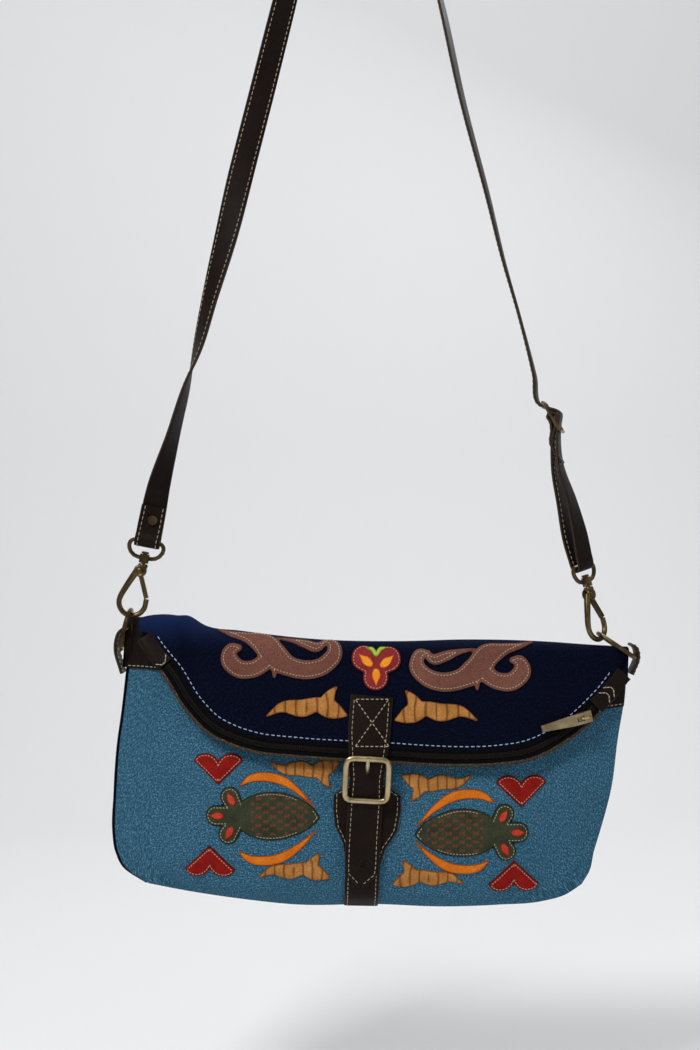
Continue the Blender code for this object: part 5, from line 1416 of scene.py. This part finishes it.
def patch_grid(shape, width, step):
    """Square grid of a shape with its outer points drawn onto the edge, its faces and signed distances."""
    size = step / width
    xs = np.arange(-0.56, 0.57, size)
    zs = np.arange(-0.50, 0.51, size)
    grid = np.stack(np.meshgrid(xs, zs, indexing="ij"), axis=-1)
    depth = shape_depth(shape, grid)
    slope = shape_slope(shape, grid, size / 20)
    near = np.abs(depth) < 0.55 * size
    grid = np.where(near[..., None], grid - slope * depth[..., None], grid)
    keep = (depth < 0) | near
    depth = np.where(near, 0.0, depth)
    cells = quads(*keep.shape)
    flags = keep.ravel()[cells]
    faces = [list(q) for q in cells[flags.all(axis=1)]]
    faces += [[v for v, k in zip(q, f) if k] for q, f in zip(cells, flags) if f.sum() == 3]
    used = sorted({v for f in faces for v in f})
    where = {v: k for k, v in enumerate(used)}
    faces = [[where[v] for v in f] for f in faces]
    return grid.reshape(-1, 2)[used], faces, -depth.ravel()[used] * width


def patch_band(shape, flat):
    """Drawn pattern of a shape: curved cross lines on a leaf, scale rows on a bud."""
    x, z = flat[:, 0], flat[:, 1]
    if shape == "leaf":
        beat = (x + 0.9 * (z + 0.05) ** 2 * np.sign(x)) / 0.135
        line = np.abs(beat - np.round(beat)) * 0.135
        return np.clip(1 - (line / 0.016) ** 2, 0, 1) * (np.abs(x) < 0.44)
    if shape == "bud":
        row = x / 0.062
        shift = np.where(np.round(row) % 2 > 0, 0.5, 0.0)
        arc = np.abs(row - np.round(row) + 0.35 * np.cos((z / 0.075 + shift) * 2 * np.pi)) * 0.062
        dash = np.cos((z / 0.075 + shift) * 4 * np.pi) > -0.4
        return np.clip(1 - (arc / 0.011) ** 2, 0, 1) * dash * ((x > -0.10) & (x < 0.40))
    return np.zeros(len(x))


def laid(name, row, flat, faces, low, high, mat, uv, marks, **rest):
    """A patch's lower and upper face on the cloth and its side; low and high lift off the cloth's middle."""
    place, a, b = patch_place(row, flat)
    order = 1 if row[5] * row[6] > 0 else -1
    faces = [f[::order] for f in faces]
    edges = {(p, q) for f in faces for p, q in zip(f, f[1:] + f[:1])}
    count = len(flat)
    side = [[p, q, q + count, p + count] for p, q in edges if (q, p) not in edges]
    faces = [f[::-1] for f in faces] + [[v + count for v in f] for f in faces] + sorted(side)
    verts = np.vstack([seat(place, a, b, np.full(count, low)), seat(place, a, b, high)])
    return add_piece(name, verts, faces, mat, uv=np.vstack([uv, uv]),
                     marks={key: np.tile(values, 2) for key, values in marks.items()}, **rest)


def rounded_rise(inside, reach):
    """Nought at the edge and one from reach inwards: 1 - (1 - min(d / reach, 1))^2."""
    return 1 - (1 - np.clip(inside / reach, 0, 1)) ** 2


def ground_of(row):
    return CANVAS / 2 + (FOLD_EASE if row[1] == "fold" else 0)


def patch(name, row, mat, dome, outline, slot, node):
    """A sewn-on patch: t (0.45 + 0.55 rise) + dome (1 - exp(-d / 3 mm)) over the cloth."""
    shape = row[0]
    flat, faces, inside = patch_grid(shape, row[4], PATCH_STEP)
    ground = ground_of(row)
    high = PATCH * (0.45 + 0.55 * rounded_rise(inside, PATCH_EDGE))
    high = high + dome * (1 - np.exp(-inside / DOME_REACH))
    uv = flat * row[4] + np.array([row[2] * 3.1, row[3] * 2.3])
    laid(name, row, flat, faces, ground * 0.9, ground + high, mat, uv,
         {"inset": inside, "band": patch_band(shape, flat), "cut": np.zeros(len(flat))}, slot=slot,
         stands_for=[node])
    if outline is None:
        return
    face = ground + PATCH
    for line in outlines(shape, outline / row[4], row[4]):
        place, a, b = patch_place(row, line)
        ones = np.ones(len(a))
        points = seat(place, a, b, ones * (face + dome * (1 - math.exp(-outline / DOME_REACH))))
        up = seat(place, a, b, ones * (face + 1 * MM)) - seat(place, a, b, ones * face)
        SEAMS.row(points, up, pitch=1.9 * MM, length=1.35 * MM, radius=0.2 * MM)


def outlines(shape, inset, width):
    """Runs of points at one distance inside a shape's edge, walked round each stroke."""
    runs = []
    for stroke in SHAPES[shape]:
        line = through(stroke, 24)
        keep = line[:, 2] > inset
        if keep.sum() < 2:
            continue
        line = line[keep]
        run = np.gradient(line[:, :2], axis=0)
        run /= np.maximum(np.linalg.norm(run, axis=1), 1e-9)[:, None]
        across = np.stack([-run[:, 1], run[:, 0]], axis=1)
        reach = (line[:, 2] - inset)[:, None]
        left, right = line[:, :2] + across * reach, line[:, :2] - across * reach
        turn = np.linspace(0, np.pi, 14)[1:-1, None]
        end = line[-1, :2] + reach[-1] * (across[-1] * np.cos(turn) + run[-1] * np.sin(turn))
        start = line[0, :2] - reach[0] * (across[0] * np.cos(turn) + run[0] * np.sin(turn))
        ring = np.vstack([left, end, right[::-1], start, left[:1]])
        fine = np.linspace(0, len(ring) - 1, len(ring) * 3)
        ring = np.stack([np.interp(fine, np.arange(len(ring)), ring[:, k]) for k in range(2)], axis=1)
        depth = shape_depth(shape, ring)
        good = depth > -inset - 0.9 * MM / width
        for _ in range(4):
            slope = shape_slope(shape, ring, 0.001)
            ring = ring - slope * (depth + inset)[:, None]
            depth = shape_depth(shape, ring)
        good &= np.abs(depth + inset) < 0.12 * MM / width
        breaks = np.flatnonzero(np.diff(good.astype(int)))
        for part in np.split(np.arange(len(ring)), breaks + 1):
            if good[part[0]] and len(part) > 3:
                runs.append(ring[part])
    return runs


# Small shapes laid on the trefoil and the buds
SHAPES["petal"] = [[(0.0, 0.48, 0.02), (0.0, 0.22, 0.12), (0.0, -0.10, 0.23), (0.0, -0.24, 0.19)]]
SHAPES["sprig"] = [[(-0.48, 0.16, 0.03), (-0.20, 0.10, 0.10), (0.0, -0.12, 0.09), (0.20, 0.10, 0.10),
                    (0.48, 0.18, 0.03)]]


def small_patch(name, row, shape, at, width, turn, mat, lift):
    """A small shape turned about its own middle and laid on an ornament, at shares of its width."""
    _, where, across, drop, size, mirror, over = row
    moved = (shape, where, across + at[0] * size * mirror / BAG_WIDTH, drop - at[1] * size * over / BAG_DROP,
             width, mirror, over)
    angle = math.radians(turn)
    flat, faces, inside = patch_grid(shape, width, SMALL_STEP)
    c, s = math.cos(angle), math.sin(angle)
    flat = np.stack([flat[:, 0] * c - flat[:, 1] * s, flat[:, 0] * s + flat[:, 1] * c], axis=1)
    ground = ground_of(row) + lift
    high = ground + SMALL_PATCH * (0.3 + 0.7 * rounded_rise(inside, SMALL_EDGE))
    laid(name, moved, flat, faces, ground, high, mat,
         flat * width + np.array([at[0], at[1]]), {"inset": inside, "band": np.zeros(len(flat))})


def make_ornaments():
    looks = {
        "scroll": ("brown_leather", 0.0, 1.7 * MM), "trefoil": ("red_leather", 0.3 * MM, 1.2 * MM),
        "leaf": ("tan_felt", 0.35 * MM, None), "crescent": ("orange_felt", 0.0, None),
        "heart": ("red_felt", 0.5 * MM, 1.3 * MM), "bud": ("olive_felt", 1.1 * MM, 1.4 * MM),
    }
    for name, row in ORNAMENTS.items():
        slot, dome, outline = looks[row[0]]
        patch(f"{name}_patch", row, PATCHES[row[0]], dome, outline, slot, name)
    row = ORNAMENTS["trefoil"]
    for k, (at, turn) in enumerate((((-0.20, 0.14), 52), ((0.21, 0.12), -52), ((0.0, -0.17), 180))):
        small_patch(f"petal_{k}", row, "petal", at, 10.8 * MM, turn, PATCHES["petal"], PATCH + 0.4 * MM)
    small_patch("sprig", row, "sprig", (0.0, 0.30), 12 * MM, 0, PATCHES["sprig"], PATCH + 0.3 * MM)
    for side in ("left", "right"):
        row = ORNAMENTS[f"bud_{side}"]
        petals = (((-0.275, 0.15), -150), ((-0.40, 0.0), -90), ((-0.29, -0.145), -30))
        for k, (at, turn) in enumerate(petals):
            small_patch(f"seed_{side}_{k}", row, "petal", at, 9.5 * MM, turn + 180, PATCHES["seed"],
                        PATCH + 0.9 * MM)


def make_topstitch():
    """A dashed row along the flap's navy edge."""
    d = BAND + 2.0 * MM
    line = rim_grid(0.012, 0.988, d, d + 0.01 * MM, CANVAS / 2, 900, 2)[0]
    DASHES.row(line, (0, -1, 0), pitch=3.3 * MM, length=2.3 * MM, radius=0.28 * MM)


SEAMS = Thread()
DASHES = Thread()
make_panels()
make_zip()
make_corners()
make_side_wrap()
make_straps()
make_closure()
make_ornaments()
make_topstitch()
SEAMS.build("cream_stitches", CREAM, slot="edge_trim")
DASHES.build("flap_stitches", PALE_BLUE, slot="edge_trim")
make_hooks()
make_buckle()
make_punch()
# Painted light: buckle, zip pull and slider nodes take the brighter brass copy, the other nodes the plain
# brass
for node in frame["nodes"]:
    obj = bpy.data.objects.get(node)
    if obj is not None and not obj.hide_render and obj.data.materials:
        obj.data.materials[0] = LIT_BRASS if node.startswith(("buckle", "zip_pull", "zip_slider")) else BRASS


# Camera, backdrop and light


def make_view():
    lens = bpy.data.cameras.new("camera")
    lens.lens = 50
    lens.sensor_width = 36
    lens.clip_start = 0.01
    camera = bpy.data.objects.new("camera", lens)
    camera.location = (-0.0058, -0.865, -0.4349)
    camera.rotation_euler = (math.pi / 2, 0, 0)
    bpy.context.scene.collection.objects.link(camera)
    bpy.context.scene.camera = camera


def make_stage():
    """Pale floor and backdrop in one sweep: flat, a quarter round of 0.5 m, then upright."""
    q = np.linspace(0, np.pi / 2, 24)
    profile = [(0.9 + 0.5 * math.sin(t), -0.30 - 0.5 * math.cos(t)) for t in q]
    profile = [(-2.2, -0.80)] + profile + [(1.4, 2.4)]
    rows = np.array([[(x, y, z) for x in (-3.0, 3.0)] for y, z in profile])
    mesh = bpy.data.meshes.new("sweep")
    mesh.from_pydata(rows.reshape(-1, 3).tolist(), [], quads(len(profile), 2)[:, ::-1].tolist())
    mesh.shade_smooth()
    sweep = bpy.data.objects.new("sweep", mesh)
    bpy.context.scene.collection.objects.link(sweep)
    mat, net, shader = new_material("sweep", roughness=0.9, specular=0.1)
    shader.inputs["Base Color"].default_value = (0.86, 0.86, 0.87, 1.0)
    away = net.node("ShaderNodeNewGeometry").outputs["Backfacing"]
    net.tree.links.new(net.math("SUBTRACT", 1.0, away), shader.inputs["Alpha"])
    mesh.materials.append(mat)


def area_light(name, place, target, size, power, tint=(1, 1, 1)):
    data = bpy.data.lights.new(name, "AREA")
    data.shape = "RECTANGLE"
    data.size, data.size_y = size
    data.energy = power
    data.color = tint
    light = bpy.data.objects.new(name, data)
    light.location = place
    light.rotation_euler = (Vector(target) - Vector(place)).to_track_quat("-Z", "Y").to_euler()
    bpy.context.scene.collection.objects.link(light)


def make_light():
    world = bpy.data.worlds.new("studio")
    world.use_nodes = True
    world.node_tree.nodes["Background"].inputs["Color"].default_value = (0.86, 0.88, 0.92, 1.0)
    world.node_tree.nodes["Background"].inputs["Strength"].default_value = 0.22
    bpy.context.scene.world = world
    middle = (0.0, 0.0, -0.45)
    area_light("key", (-0.75, -1.15, 0.75), middle, (0.5, 0.5), 24)
    area_light("fill", (1.2, -0.9, 0.0), middle, (0.8, 0.8), 3.5)
    area_light("rim", (0.5, 0.8, 0.6), middle, (0.5, 0.5), 6)
    area_light("wall", (0.0, 0.25, 1.3), (0.0, 1.4, -0.3), (2.4, 0.4), 8)


bpy.context.scene.view_settings.view_transform = "Standard"
make_view()
make_stage()
make_light()
